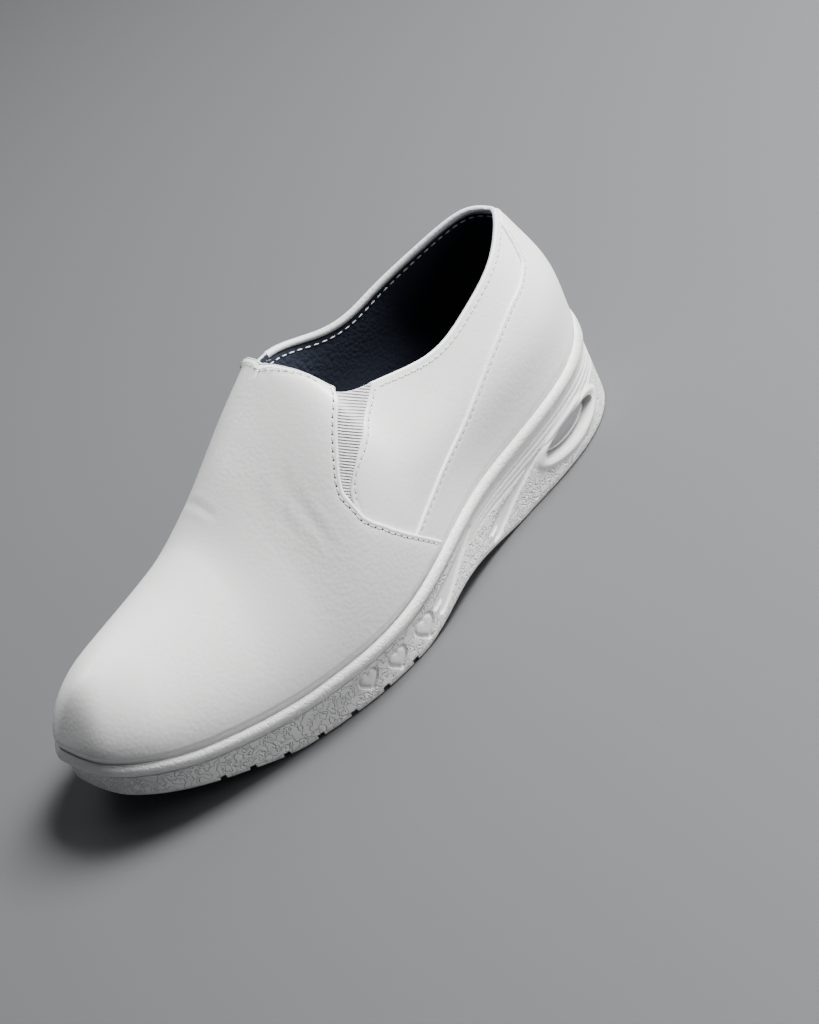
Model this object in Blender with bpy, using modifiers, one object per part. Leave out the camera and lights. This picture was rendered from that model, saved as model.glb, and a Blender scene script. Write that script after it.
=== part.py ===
"""Left slip-on nursing shoe, standing empty on its sole.

X runs from heel to toe, Y to the wearer's left, Z up. Sizes are millimetres, meshes metres.
"""
import bmesh
import bpy
import numpy as np

MM = 0.001

# Driving sizes
LENGTH = 262.0
LATERAL_BALL = 53.5
MEDIAL_BALL = 44.0
HEEL_SIDE = 33.8
TOE_SPRING = 14.5
ARCH_RISE = 4.9
BACK_HEIGHT = 89.5
INSTEP_HEIGHT = 101.0
THROAT_X = 125.0
RIDGE_SIDE = 8.0
COLLAR_HALF = 33.0
WALL = 2.0
VAMP_STEP = 1.5
COUNTER_STEP = 0.8
HEEL_BULGE = 1.6
CUP_DEPTH = 8.0
WRAP_RISE = 6.5
BEAD_OUT = 1.9
BEAD_HEIGHT = 5.6
GROOVE_DEEP = 1.1
RIB_DEEP = 0.7
LIP_INSET = 0.5
SOLE_EDGE = 1.6
FIT_GAP = 0.3
INSOLE_THICK = 4.0
INSOLE_DISH = 1.2
INSOLE_RIM = 8.0
WINDOW_X = 39.7
WINDOW_Z = 13.3
WINDOW_HALF_LONG = 18.2
WINDOW_HALF_HIGH = 5.0
WINDOW_LIP = 3.2
LIP_RAISED = 0.8
CUSHION_GAP = 0.5
CUSHION_SET_BACK = 2.6
HEART_SIZE = 7.6
HEART_LINE = 1.0
RELIEF_DEEP = 0.9
TREAD_RIM = 14.0
TREAD_RECESS = 3.2
TREAD_PLATE = 1.5
LUG_HIGH = 1.2
LUG_LONG = 12.8
LUG_WIDE = 9.6
LUG_GAP = 0.9
NOTCH_WIDE = 3.4
NOTCH_DEEP = 2.2
GORE_THICK = 1.4
PANEL_LIFT = 0.8
RIDGE_ROUND = 0.02
RIDGE_SOFT = 0.35
TOE_TILT = 0.7
TOE_TILT_FROM = 0.85
TOE_TURN_FROM, TOE_TURN_TO = 0.62, 0.94
GORE_SINK = 0.4
STATIONS = 38
FLAT_ANGLE = 0.012

# Ends of the forefoot insert, where its nose starts to round, and how far side-view cutters reach
TREAD_START, TREAD_NOSE, TREAD_END = 0.4885 * LENGTH, 0.725 * LENGTH, 0.939 * LENGTH
CUT_REACH, CUT_LOW = 1.7 * LATERAL_BALL, -TOE_SPRING - ARCH_RISE

# Sole outline: place from heel to toe, share of the lateral and of the medial ball half width
OUTLINE = (
    (0.00, 0.000, 0.000), (0.06, 0.206, -0.250), (0.12, 0.383, -0.455), (0.20, 0.575, -0.636),
    (0.30, 0.700, -0.727), (0.40, 0.768, -0.672), (0.50, 0.960, -0.655), (0.60, 1.000, -0.912),
    (0.68, 0.862, -0.995), (0.76, 0.680, -0.955), (0.84, 0.468, -0.818), (0.90, 0.277, -0.614),
    (0.95, 0.073, -0.432), (1.00, -0.262, -0.318),
)
# Rim height along the sole: share of the length, share of the heel side height, share of the toe spring
RIM = (
    (0.000, 1.000, 0.0), (0.115, 1.000, 0.0), (0.267, 0.914, 0.0), (0.420, 0.811, 0.0), (0.573, 0.624, 0.0),
    (0.725, 0.583, 0.0), (0.878, 0.490, 0.42), (1.000, 0.470, 1.0),
)
# Underside: share of the length, share of the arch rise, share of the toe spring
UNDER = (
    (0.000, 0.40, 0.0), (0.035, 0.00, 0.0), (0.290, 0.00, 0.0), (0.440, 1.00, 0.0), (0.575, 0.00, 0.0),
    (0.630, 0.00, 0.0), (0.765, 0.00, 0.0), (0.880, 0.00, 0.40), (1.000, 0.00, 1.0),
)
# Top line and then the instep ridge: place, x share of the throat's, lateral and medial side shares of the
# collar half width, height as a share of the instep height, how far the section is rounded over
CREST = (
    (0.00, 0.065, 0.000, 0.000, 0.891, 0.0), (0.10, 0.128, 0.348, -0.300, 0.910, 0.0),
    (0.20, 0.279, 0.724, -0.612, 0.860, 0.0), (0.30, 0.469, 0.897, -0.824, 0.806, 0.0),
    (0.39, 0.670, 0.994, -0.948, 0.797, 0.0), (0.452, 0.866, 0.979, -0.976, 0.870, 0.15),
    (0.480, 0.957, 0.845, -0.745, 0.915, 0.45), (0.505, 0.982, 0.452, -0.494, 0.980, 0.8),
    (0.5263, 1.000, -0.103, -0.103, 1.000, 1.0),
)
# Instep ridge: place, share of the way from throat to toe tip, share of the ridge's side shift, height share
RIDGE = (
    (0.5263, 0.000, 0.425, 1.000), (0.62, 0.219, 0.430, 0.804), (0.72, 0.445, 0.430, 0.609),
    (0.82, 0.628, 0.500, 0.547), (0.91, 0.764, 0.680, 0.521), (1.00, 0.832, 0.850, 0.503),
)
RIDGE_START = 0.5263
# How boxy the front sections are, place by place: 1 is straight, 2 a quarter ellipse
ROUNDNESS = ((0.0, 2.50), (0.5263, 2.65), (0.65, 1.82), (0.80, 1.86), (0.90, 1.83), (1.00, 2.16))
# Front panel edge, side view: x and z as shares of the throat's x and the instep height
VAMP_EDGE = (
    (0.860, 1.060), (0.910, 0.950), (0.960, 0.917), (0.980, 0.904), (1.024, 0.868), (1.098, 0.773), (1.130, 0.723),
    (1.149, 0.677), (1.150, 0.607), (1.105, 0.503), (1.055, 0.419), (0.960, 0.272), (0.900, 0.150),
)
# Elastic wedge's rear edge, side view, top to tip
GORE_REAR = ((0.780, 1.060), (0.867, 0.869), (0.909, 0.840), (0.963, 0.813), (1.064, 0.747), (1.146, 0.656))
GORE_FRONT = ((1.146, 0.656), (1.157, 0.680), (1.138, 0.723), (1.104, 0.772), (1.030, 0.868), (0.992, 0.911),
              (0.968, 0.919), (0.920, 0.945), (0.880, 1.060))
# Heel counter panel's seam, side view, collar to front
COUNTER_SEAM = (
    (0.090, 1.040), (0.136, 0.915), (0.152, 0.830), (0.175, 0.760), (0.246, 0.727), (0.324, 0.711), (0.390, 0.684),
    (0.470, 0.648), (0.546, 0.607), (0.620, 0.566), (0.695, 0.527), (0.842, 0.474), (0.925, 0.440), (1.038, 0.390),
    (1.175, 0.328),
)
# Side hearts: x share of the length, z share of the heel side height, share of the heart size
HEARTS = ((0.665, 0.254, 0.86), (0.613, 0.213, 0.95), (0.553, 0.243, 1.10))
# Waist channels: x, z of the lobed end, x, z of the thin end, width share of the heart size
CHANNELS = ((0.518, 0.281, 0.400, 0.600, 0.95), (0.364, 0.231, 0.225, 0.540, 0.85))
# Rim notches: place along the outline on each side
NOTCHES_LATERAL = (0.783, 0.748, 0.710, 0.672, 0.634, 0.596, 0.558)
NOTCHES_MEDIAL = (0.800, 0.765, 0.730, 0.695, 0.660, 0.625, 0.590, 0.555)


def spline(rows, column, at):
    """Natural cubic through one column of a table, read at the given places."""
    x = np.array([row[0] for row in rows], float)
    y = np.array([row[column] for row in rows], float)
    n, h = len(x), np.diff(x)
    system, right = np.eye(n), np.zeros(n)
    for i in range(1, n - 1):
        system[i, i - 1:i + 2] = h[i - 1], 2 * (h[i - 1] + h[i]), h[i]
        right[i] = 6 * ((y[i + 1] - y[i]) / h[i] - (y[i] - y[i - 1]) / h[i - 1])
    bend = np.linalg.solve(system, right)
    at = np.asarray(at, float)
    k = np.clip(np.searchsorted(x, at) - 1, 0, n - 2)
    a, b = (x[k + 1] - at) / h[k], (at - x[k]) / h[k]
    return a * y[k] + b * y[k + 1] + ((a ** 3 - a) * bend[k] + (b ** 3 - b) * bend[k + 1]) * h[k] ** 2 / 6


def steady(rows, column, at):
    """Monotone cubic through one column of a table, so flat runs stay flat."""
    x = np.array([row[0] for row in rows], float)
    y = np.array([row[column] for row in rows], float)
    h = np.diff(x)
    rise = np.diff(y) / h
    slope = np.zeros(len(x))
    for i in range(1, len(x) - 1):
        if rise[i - 1] * rise[i] > 0:
            w1, w2 = 2 * h[i] + h[i - 1], h[i] + 2 * h[i - 1]
            slope[i] = (w1 + w2) / (w1 / rise[i - 1] + w2 / rise[i])
    slope[0], slope[-1] = rise[0], rise[-1]
    at = np.asarray(at, float)
    k = np.clip(np.searchsorted(x, at) - 1, 0, len(x) - 2)
    t = (at - x[k]) / h[k]
    return ((1 + 2 * t) * (1 - t) ** 2 * y[k] + t * (1 - t) ** 2 * h[k] * slope[k]
            + t * t * (3 - 2 * t) * y[k + 1] + t * t * (t - 1) * h[k] * slope[k + 1])


def along(place):
    """X at a place from heel (0) to toe (1), closer together at both ends."""
    return LENGTH * (1 - np.cos(np.pi * np.asarray(place, float))) / 2


def rim_height(x):
    share = np.clip(np.asarray(x, float) / LENGTH, 0, 1)
    return HEEL_SIDE * spline(RIM, 1, share) + TOE_SPRING * steady(RIM, 2, share)


def under_height(x):
    share = np.clip(np.asarray(x, float) / LENGTH, 0, 1)
    return ARCH_RISE * steady(UNDER, 1, share) + TOE_SPRING * steady(UNDER, 2, share)


def floor_height(x):
    return rim_height(x) - CUP_DEPTH


# Stations run from the heel along the lateral side to the toe and back along the medial side
PLACES = np.concatenate([np.arange(STATIONS + 1), np.arange(STATIONS - 1, 0, -1)]) / STATIONS
LATERAL = np.arange(2 * STATIONS) <= STATIONS


def outline(inset=0.0):
    """Plan of the sole at every station, moved inwards by the inset."""
    round_trip = np.linspace(0, 2, 40 * STATIONS, endpoint=False)
    place = np.where(round_trip <= 1, round_trip, 2 - round_trip)
    side = np.where(round_trip <= 1, LATERAL_BALL * spline(OUTLINE, 1, place), MEDIAL_BALL * spline(OUTLINE, 2, place))
    toe_tip = LATERAL_BALL * OUTLINE[-1][1]
    toe_error = toe_tip - MEDIAL_BALL * OUTLINE[-1][2]
    side = side + np.where(round_trip > 1, toe_error * np.clip(1 - (1 - place) / 0.05, 0, 1) ** 2, 0)
    plan = np.stack([along(place), side], 1)
    run = np.roll(plan, -2, 0) - np.roll(plan, 2, 0)
    run /= np.linalg.norm(run, axis=1, keepdims=True)
    inward = np.stack([run[:, 1], -run[:, 0]], 1)
    pick = np.arange(2 * STATIONS) * 20
    return plan[pick] + np.reshape(inset, (-1, 1)) * inward[pick]


def outward_at(place, lateral):
    """Point and outward direction of the outline at one place."""
    base, near = outline(0.0), outline(-1.0)
    index = int(round(place * STATIONS))
    index = index if lateral else (2 * STATIONS - index) % (2 * STATIONS)
    return base[index], near[index] - base[index]


def wrap_rise():
    """How far the sole unit climbs the upper above its rim, most at the back of the heel."""
    near = np.clip(1 - PLACES / 0.24, 0, 1)
    return WRAP_RISE * near ** 2 * (3 - 2 * near)


def lateral_side(x):
    plan = outline()[:STATIONS + 1]
    return float(np.interp(x, plan[:, 0], plan[:, 1]))


def loop(inset, heights):
    return np.column_stack([outline(inset), heights])


def panels_collection(name, hidden):
    collection = bpy.data.collections.new(name)
    bpy.context.scene.collection.children.link(collection)
    collection.hide_render = hidden
    return collection


def make(name, points, faces, collection):
    mesh = bpy.data.meshes.new(name)
    mesh.from_pydata([tuple(p) for p in np.asarray(points, float) * MM], [], faces)
    obj = bpy.data.objects.new(name, mesh)
    collection.objects.link(obj)
    if collection.hide_render:
        obj.hide_render = True
        obj.display_type = 'WIRE'
    edit = bmesh.new()
    edit.from_mesh(mesh)
    bmesh.ops.remove_doubles(edit, verts=edit.verts, dist=0.00002)
    bmesh.ops.recalc_face_normals(edit, faces=edit.faces)
    edit.to_mesh(mesh)
    edit.free()
    return obj


def bands(rows, count, base=0):
    """Quads between consecutive closed loops of the same count."""
    return [(base + r * count + i, base + r * count + (i + 1) % count,
             base + (r + 1) * count + (i + 1) % count, base + (r + 1) * count + i)
            for r in range(rows - 1) for i in range(count)]


def deck(count, base):
    """Faces that close a loop, from each lateral station to the medial one across."""
    half = count // 2
    faces = []
    for i in range(half):
        ring = [base + i, base + i + 1, base + (count - i - 1) % count, base + (count - i) % count]
        faces.append(tuple(dict.fromkeys(ring)))
    return faces


def stacked(name, rows, collection):
    """Closed body from loops, with its first and last loop decked over."""
    count = len(rows[0])
    faces = bands(len(rows), count) + deck(count, 0) + deck(count, (len(rows) - 1) * count)
    return make(name, np.concatenate(rows), faces, collection)


def hoop(name, rows, collection):
    """Closed ring from loops, with the last loop joined to the first."""
    count = len(rows[0])
    faces = bands(len(rows), count)
    last = (len(rows) - 1) * count
    faces += [(last + i, last + (i + 1) % count, (i + 1) % count, i) for i in range(count)]
    return make(name, np.concatenate(rows), faces, collection)


def prism(name, outer, near, far, collection, hole=None):
    """Side-view shape carried across the shoe from one Y to another, with a hole of as many corners.

    A near of None starts it just under the lateral side's surface.
    """
    n = len(outer)
    shapes = [outer] if hole is None else [outer, hole]
    points = [(x, lateral_side(x) - RELIEF_DEEP if y is None else y, z)
              for shape in shapes for y in (near, far) for x, z in shape]
    faces = [(i, (i + 1) % n, n + (i + 1) % n, n + i) for i in range(n)]
    if hole is None:
        faces += [tuple(range(n)), tuple(range(n, 2 * n))]
    else:
        faces += [(2 * n + i, 2 * n + (i + 1) % n, 3 * n + (i + 1) % n, 3 * n + i) for i in range(n)]
        faces += [(k * n + i, k * n + (i + 1) % n, (k + 2) * n + (i + 1) % n, (k + 2) * n + i)
                  for k in (0, 1) for i in range(n)]
    return make(name, points, faces, collection)


def flatten_faces(obj):
    """Triangles throughout, since a Boolean takes every face as flat."""
    edit = bmesh.new()
    edit.from_mesh(obj.data)
    bmesh.ops.triangulate(edit, faces=edit.faces)
    edit.to_mesh(obj.data)
    edit.free()


def boolean(obj, other, operation):
    """Applies one exact Boolean and keeps the result as the object's own mesh."""
    flatten_faces(obj)
    flatten_faces(other)
    modifier = obj.modifiers.new(operation.title(), 'BOOLEAN')
    modifier.solver = 'EXACT'
    modifier.operation = operation
    modifier.object = other
    bpy.context.view_layer.objects.active = obj
    bpy.ops.object.modifier_apply(modifier=modifier.name)
    edit = bmesh.new()
    edit.from_mesh(obj.data)
    bmesh.ops.dissolve_limit(edit, angle_limit=FLAT_ANGLE, verts=edit.verts, edges=edit.edges)
    edit.to_mesh(obj.data)
    edit.free()
    flatten_faces(obj)


def finish(obj, colour, roughness):
    material = bpy.data.materials.new(obj.name)
    material.use_nodes = True
    shader = material.node_tree.nodes['Principled BSDF']
    shader.inputs['Base Color'].default_value = (*colour, 1)
    shader.inputs['Roughness'].default_value = roughness
    obj.data.materials.clear()
    obj.data.materials.append(material)
    for face in obj.data.polygons:
        face.use_smooth = False


def ellipse(grow):
    turn = np.linspace(0, 2 * np.pi, 28, endpoint=False)
    return [(WINDOW_X + (WINDOW_HALF_LONG + grow) * np.cos(t), WINDOW_Z + (WINDOW_HALF_HIGH + grow) * np.sin(t))
            for t in turn]


def heart(x, z, size):
    """Side-view heart, point down, lobes up."""
    turn = np.linspace(0, 2 * np.pi, 20, endpoint=False)
    wide = 16 * np.sin(turn) ** 3
    high = 13 * np.cos(turn) - 5 * np.cos(2 * turn) - 2 * np.cos(3 * turn) - np.cos(4 * turn)
    return [(x + size * a / 32, z + size * (b + 2.5) / 32) for a, b in zip(wide, high)]


def channel(x0, z0, x1, z1, width):
    """Tapered side-view channel whose low end has two lobes."""
    axis = np.array([x1 - x0, z1 - z0])
    long = np.linalg.norm(axis)
    axis /= long
    across = np.array([-axis[1], axis[0]])
    shape = [(0.10, 0.00), (-0.02, 0.10), (-0.05, 0.30), (0.02, 0.48), (0.20, 0.46), (0.45, 0.30), (0.75, 0.17),
             (1.00, 0.05), (1.00, -0.05), (0.75, -0.17), (0.45, -0.30), (0.20, -0.46), (0.02, -0.48), (-0.05, -0.30),
             (-0.02, -0.10)]
    return [tuple(np.array([x0, z0]) + axis * long * a + across * width * b) for a, b in shape]


def crest():
    """Top point of the upper at every station, with how far its section is rounded over."""
    front = PLACES >= RIDGE_START
    x = THROAT_X * spline(CREST, 1, np.minimum(PLACES, RIDGE_START))
    reach = THROAT_X + (LENGTH - THROAT_X) * spline(RIDGE, 1, np.maximum(PLACES, RIDGE_START))
    x = np.where(front, reach, x)
    side = COLLAR_HALF * np.where(LATERAL, spline(CREST, 2, np.minimum(PLACES, RIDGE_START)),
                                  spline(CREST, 3, np.minimum(PLACES, RIDGE_START)))
    side = np.where(front, -RIDGE_SIDE * spline(RIDGE, 2, np.maximum(PLACES, RIDGE_START)), side)
    height = INSTEP_HEIGHT * spline(CREST, 4, np.minimum(PLACES, RIDGE_START))
    height += (BACK_HEIGHT - INSTEP_HEIGHT * CREST[0][4]) * np.clip(1 - PLACES / 0.3, 0, 1) ** 2
    height = np.where(front, INSTEP_HEIGHT * steady(RIDGE, 3, np.maximum(PLACES, RIDGE_START)), height)
    over = np.where(front, 1.0, steady(CREST, 5, np.minimum(PLACES, RIDGE_START)))
    return np.column_stack([x, side, height]), over


def upper_rows(shares, foot, lip):
    """Loops of the upper's outer face, from the foot inside the cup, through the shares, to the top."""
    x = along(PLACES)
    base = loop(LIP_INSET + FIT_GAP, rim_height(x))
    top, over = crest()
    power = steady(ROUNDNESS, 1, PLACES)
    tilt = TOE_TILT * np.clip((PLACES - TOE_TILT_FROM) / (1 - TOE_TILT_FROM), 0, 1) ** 1.5
    turn = np.clip((PLACES - TOE_TURN_FROM) / (TOE_TURN_TO - TOE_TURN_FROM), 0, 1)
    turn = turn * turn * (3 - 2 * turn)
    ease = RIDGE_ROUND + (RIDGE_SOFT - RIDGE_ROUND) * (1 - turn)
    rows = []
    start = 0 if foot else (PANEL_LIFT + wrap_rise()) / (top - base)[:, 2]
    if foot:
        rows.append(np.column_stack([base[:, :2], floor_height(x) + FIT_GAP]))
    for share in shares:
        v = start + (1 - start) * share + np.zeros(len(PLACES))
        away = np.maximum(np.cos(v * np.pi / 2), 0) ** (2 / power)
        eased = (np.hypot(away, RIDGE_ROUND) - RIDGE_ROUND) / (np.hypot(1, RIDGE_ROUND) - RIDGE_ROUND)
        arch = np.maximum(1 - eased ** power, 0) ** (1 / power) * (1 - tilt * away ** 2)
        inward = (1 - over) * v ** 2.4 + over * (1 - away)
        raised = (1 - over) * v + over * arch
        soft = 1 - (np.hypot(away, ease) - ease) / (np.hypot(1, ease) - ease)
        forward = (1 - over) * v ** 2.4 + over * ((1 - turn) * arch + turn * soft)
        row = base + (top - base) * np.column_stack([forward, inward, raised])
        row[:, :2] -= (outline(1.0) - outline(0.0)) * ((1 - over) * HEEL_BULGE * np.sin(np.pi * v) ** 3)[:, None]
        rows.append(row)
    if lip:
        rise = rows[-1] - rows[-2]
        rise /= np.linalg.norm(rise, axis=1, keepdims=True)
        rows[-1] = rows[-1] + lip * rise * (PLACES < RIDGE_START - 1e-6)[:, None]
    return rows


def upper_shell(name, shares, foot, lip, outer, inner, collection):
    """The upper's face given a real wall, reaching outer mm out and inner mm in."""
    rows = upper_rows(shares, foot, lip)
    count = len(rows[0])
    shell = make(name, np.concatenate(rows), bands(len(rows), count), collection)
    edit = bmesh.new()
    edit.from_mesh(shell.data)
    bmesh.ops.remove_doubles(edit, verts=edit.verts, dist=0.0001)
    bmesh.ops.recalc_face_normals(edit, faces=edit.faces)
    lowest = min(edit.faces, key=lambda face: face.calc_center_median().x)
    if lowest.normal.x > 0:
        bmesh.ops.reverse_faces(edit, faces=edit.faces)
    edit.to_mesh(shell.data)
    edit.free()
    solid = shell.modifiers.new('Wall', 'SOLIDIFY')
    solid.thickness = (outer + inner) * MM
    solid.offset = (outer - inner) / (outer + inner)
    solid.use_even_offset = True
    bpy.context.view_layer.objects.active = shell
    bpy.ops.object.modifier_apply(modifier=solid.name)
    return shell


def side_view(table, shift=0.0):
    return [(THROAT_X * a + shift, INSTEP_HEIGHT * b) for a, b in table]


for old in list(bpy.data.objects):
    bpy.data.objects.remove(old, do_unlink=True)
shoe = panels_collection('NursingShoe', False)
cutters = panels_collection('Cutters', True)

stations_x = along(PLACES)
rim = rim_height(stations_x)
under = under_height(stations_x)
cup_floor = floor_height(stations_x)
wrap = wrap_rise()
bead = BEAD_OUT * (1 - 0.55 * np.clip(1 - PLACES / 0.24, 0, 1))
rib = RIB_DEEP * np.clip((0.46 - PLACES) / 0.10, 0, 1)

# White sole unit: side wall with ribs, groove, rolled rim, heel wrap and the cup that holds the upper
wall_low, wall_high = under + 2.6, rim - BEAD_HEIGHT - 0.6
sole_rows = [loop(SOLE_EDGE, under), loop(0.5, under + 1.0), loop(0.0, wall_low)]
for centre in (0.66, 0.84):
    middle = wall_low + (wall_high - wall_low) * centre
    spread = (wall_high - wall_low) * 0.05
    sole_rows += [loop(0.0, middle - spread), loop(rib, middle), loop(0.0, middle + spread)]
sole_rows += [
    loop(0.0, wall_high), loop(GROOVE_DEEP, rim - BEAD_HEIGHT), loop(-0.3 * bead, rim - BEAD_HEIGHT + 0.6),
    loop(-0.85 * bead, rim - 0.72 * BEAD_HEIGHT), loop(-bead, rim - 0.43 * BEAD_HEIGHT + 0.4 * wrap),
    loop(-0.75 * bead, rim - 0.16 * BEAD_HEIGHT + 0.8 * wrap), loop(-0.2 * bead, rim - 0.02 * BEAD_HEIGHT + wrap),
    loop(LIP_INSET, rim + wrap), loop(LIP_INSET, cup_floor),
]
outsole = stacked('outsole', sole_rows, shoe)

# Raised lip round the heel window, then the window itself through the heel
lip_skin = hoop('lip_skin', [loop(-LIP_RAISED, 2 + 0 * rim), loop(-LIP_RAISED, rim - BEAD_HEIGHT - 1),
                             loop(3, rim - BEAD_HEIGHT - 1), loop(3, 2 + 0 * rim)], cutters)
lip = prism('window_lip', ellipse(WINDOW_LIP), -CUT_REACH, CUT_REACH, cutters)
boolean(lip, lip_skin, 'INTERSECT')
boolean(outsole, lip, 'UNION')
boolean(outsole, prism('window_hole', ellipse(0.0), -CUT_REACH - 1, CUT_REACH + 1, cutters), 'DIFFERENCE')

# Hearts and waist channels pressed into the lateral side
for number, (x, z, share) in enumerate(HEARTS):
    size = HEART_SIZE * share
    ring = prism(f'heart_{number}', heart(LENGTH * x, HEEL_SIDE * z, size + 2 * HEART_LINE), None, CUT_REACH, cutters,
                 heart(LENGTH * x, HEEL_SIDE * z, size))
    boolean(outsole, ring, 'DIFFERENCE')
for number, (x0, z0, x1, z1, share) in enumerate(CHANNELS):
    groove = prism(f'channel_{number}', channel(LENGTH * x0, HEEL_SIDE * z0, LENGTH * x1, HEEL_SIDE * z1,
                                                HEART_SIZE * share), None, CUT_REACH, cutters)
    boolean(outsole, groove, 'DIFFERENCE')


def tread_plan(grow):
    """Plan of the forefoot insert, straight behind and rounded in front."""
    start, end = TREAD_START - grow, TREAD_END + grow
    x = start + (end - start) * np.sin(np.linspace(0, np.pi / 2, 15))
    plan = outline()
    lateral = np.interp(x, plan[:STATIONS + 1, 0], plan[:STATIONS + 1, 1])
    medial = np.interp(x, plan[STATIONS:, 0][::-1], plan[STATIONS:, 1][::-1])
    ahead = np.clip((x - TREAD_NOSE) / (end - TREAD_NOSE), 0, 1)
    half = ((lateral - medial) / 2 - TREAD_RIM + grow) * (1 - ahead ** 2.6) ** (1 / 2.6)
    middle = (lateral + medial) / 2
    return list(zip(x, middle + half)) + list(zip(x, middle - half))[-2::-1]


def tread_solid(name, grow, low, high, collection):
    """Insert-shaped body whose faces follow the bent underside."""
    shape = tread_plan(grow)
    n = len(shape)
    points = [(x, y, z) for z in (low, high) for x, y in shape]
    faces = [(i, (i + 1) % n, n + (i + 1) % n, n + i) for i in range(n)] + [tuple(range(n)), tuple(range(n, 2 * n))]
    return make(name, points, faces, collection)


def bend_to_under(obj):
    """Slices the flat body across and lifts it onto the underside's curve."""
    edit = bmesh.new()
    edit.from_mesh(obj.data)
    for x in np.arange(TREAD_START + 20, LENGTH, 8.0):
        bmesh.ops.bisect_plane(edit, geom=edit.verts[:] + edit.edges[:] + edit.faces[:], dist=1e-6,
                               plane_co=(x * MM, 0, 0), plane_no=(1, 0, 0))
    for vert in edit.verts:
        vert.co.z += float(under_height(vert.co.x / MM)) * MM
    edit.to_mesh(obj.data)
    edit.free()


recess = tread_solid('tread_recess', 0.0, -9.0, TREAD_RECESS, cutters)
bend_to_under(recess)
boolean(outsole, recess, 'DIFFERENCE')
for lateral, notches in ((True, NOTCHES_LATERAL), (False, NOTCHES_MEDIAL)):
    for place in notches:
        spot, out = outward_at(place, lateral)
        skew = np.array([0.25, 0.0])
        direction = out + skew
        direction /= np.linalg.norm(direction)
        side = np.array([-direction[1], direction[0]]) * NOTCH_WIDE / 2
        near, far = spot - direction * (TREAD_RIM + 3), spot + direction * 6
        top = float(under_height(spot[0])) + NOTCH_DEEP
        corners = [near - side, near + side, far + side, far - side]
        points = [(x, y, z) for z in (-6.0, top) for x, y in corners]
        faces = [(0, 1, 2, 3), (4, 5, 6, 7)] + [(i, (i + 1) % 4, 4 + (i + 1) % 4, 4 + i) for i in range(4)]
        boolean(outsole, make('notch', points, faces, cutters), 'DIFFERENCE')
finish(outsole, (0.86, 0.86, 0.85), 0.5)

# Air cushion seen in the heel window
cushion = prism('air_cushion', ellipse(-CUSHION_GAP), -CUT_REACH, CUT_REACH, shoe)
core = stacked('cushion_core', [loop(CUSHION_SET_BACK, 1 + 0 * rim), loop(CUSHION_SET_BACK, rim)], cutters)
boolean(cushion, core, 'INTERSECT')
finish(cushion, (0.35, 0.37, 0.40), 0.15)

# Forefoot insert: staggered lugs under a plate
tread = tread_solid('forefoot_tread', -FIT_GAP, TREAD_RECESS - FIT_GAP - TREAD_PLATE, TREAD_RECESS - FIT_GAP, shoe)
lug_top = TREAD_RECESS - FIT_GAP - TREAD_PLATE
columns = int((TREAD_END - TREAD_START - 2 * LUG_GAP) / LUG_LONG)
lug_boxes, lug_faces = [], []
limit = tread_plan(-FIT_GAP - LUG_GAP)
for column in range(columns):
    x0 = TREAD_START + 2 * LUG_GAP + column * LUG_LONG
    x1 = x0 + LUG_LONG - LUG_GAP
    stagger = LUG_WIDE / 2 * (column % 2)
    for row in range(-6, 6):
        y0, y1 = row * LUG_WIDE + stagger, (row + 1) * LUG_WIDE + stagger - LUG_GAP
        span = []
        for x in (x0, x1):
            crossings = []
            for (ax, ay), (bx, by) in zip(limit, limit[1:] + limit[:1]):
                if (ax - x) * (bx - x) < 0:
                    crossings.append(ay + (by - ay) * (x - ax) / (bx - ax))
            span.append((min(crossings), max(crossings)) if len(crossings) > 1 else (0.0, 0.0))
        low, high = max(span[0][0], span[1][0]), min(span[0][1], span[1][1])
        y0, y1 = max(y0, low), min(y1, high)
        if y1 - y0 < LUG_WIDE * 0.35:
            continue
        base = len(lug_boxes)
        rim_z, tip_z = lug_top + 0.5, lug_top - LUG_HIGH
        inset = 1.6
        lug_boxes += [(x0, y0, rim_z), (x1, y0, rim_z), (x1, y1, rim_z), (x0, y1, rim_z),
                      (x0 + 0.6, y0 + inset, tip_z), (x1 - 2 * inset, y0 + inset, tip_z),
                      (x1 - 2 * inset, y1 - inset, tip_z), (x0 + 0.6, y1 - inset, tip_z)]
        lug_faces += [tuple(base + k for k in face) for face in
                      ((0, 1, 2, 3), (4, 5, 6, 7), (0, 1, 5, 4), (1, 2, 6, 5), (2, 3, 7, 6), (3, 0, 4, 7))]
lugs = make('lugs', lug_boxes, lug_faces, cutters)
boolean(tread, lugs, 'UNION')
bend_to_under(tread)
finish(tread, (0.01, 0.06, 0.20), 0.4)

# Foot bed with its edge a little raised
x = stations_x
edge = LIP_INSET + FIT_GAP + WALL + FIT_GAP
insole = stacked('insole', [
    loop(edge + 1.0, cup_floor + FIT_GAP), loop(edge, cup_floor + FIT_GAP + 1.0),
    loop(edge, cup_floor + FIT_GAP + INSOLE_THICK + INSOLE_DISH - 0.8),
    loop(edge + 1.2, cup_floor + FIT_GAP + INSOLE_THICK + INSOLE_DISH),
    loop(edge + INSOLE_RIM, cup_floor + FIT_GAP + INSOLE_THICK),
], shoe)
finish(insole, (0.01, 0.03, 0.08), 0.8)

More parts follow.
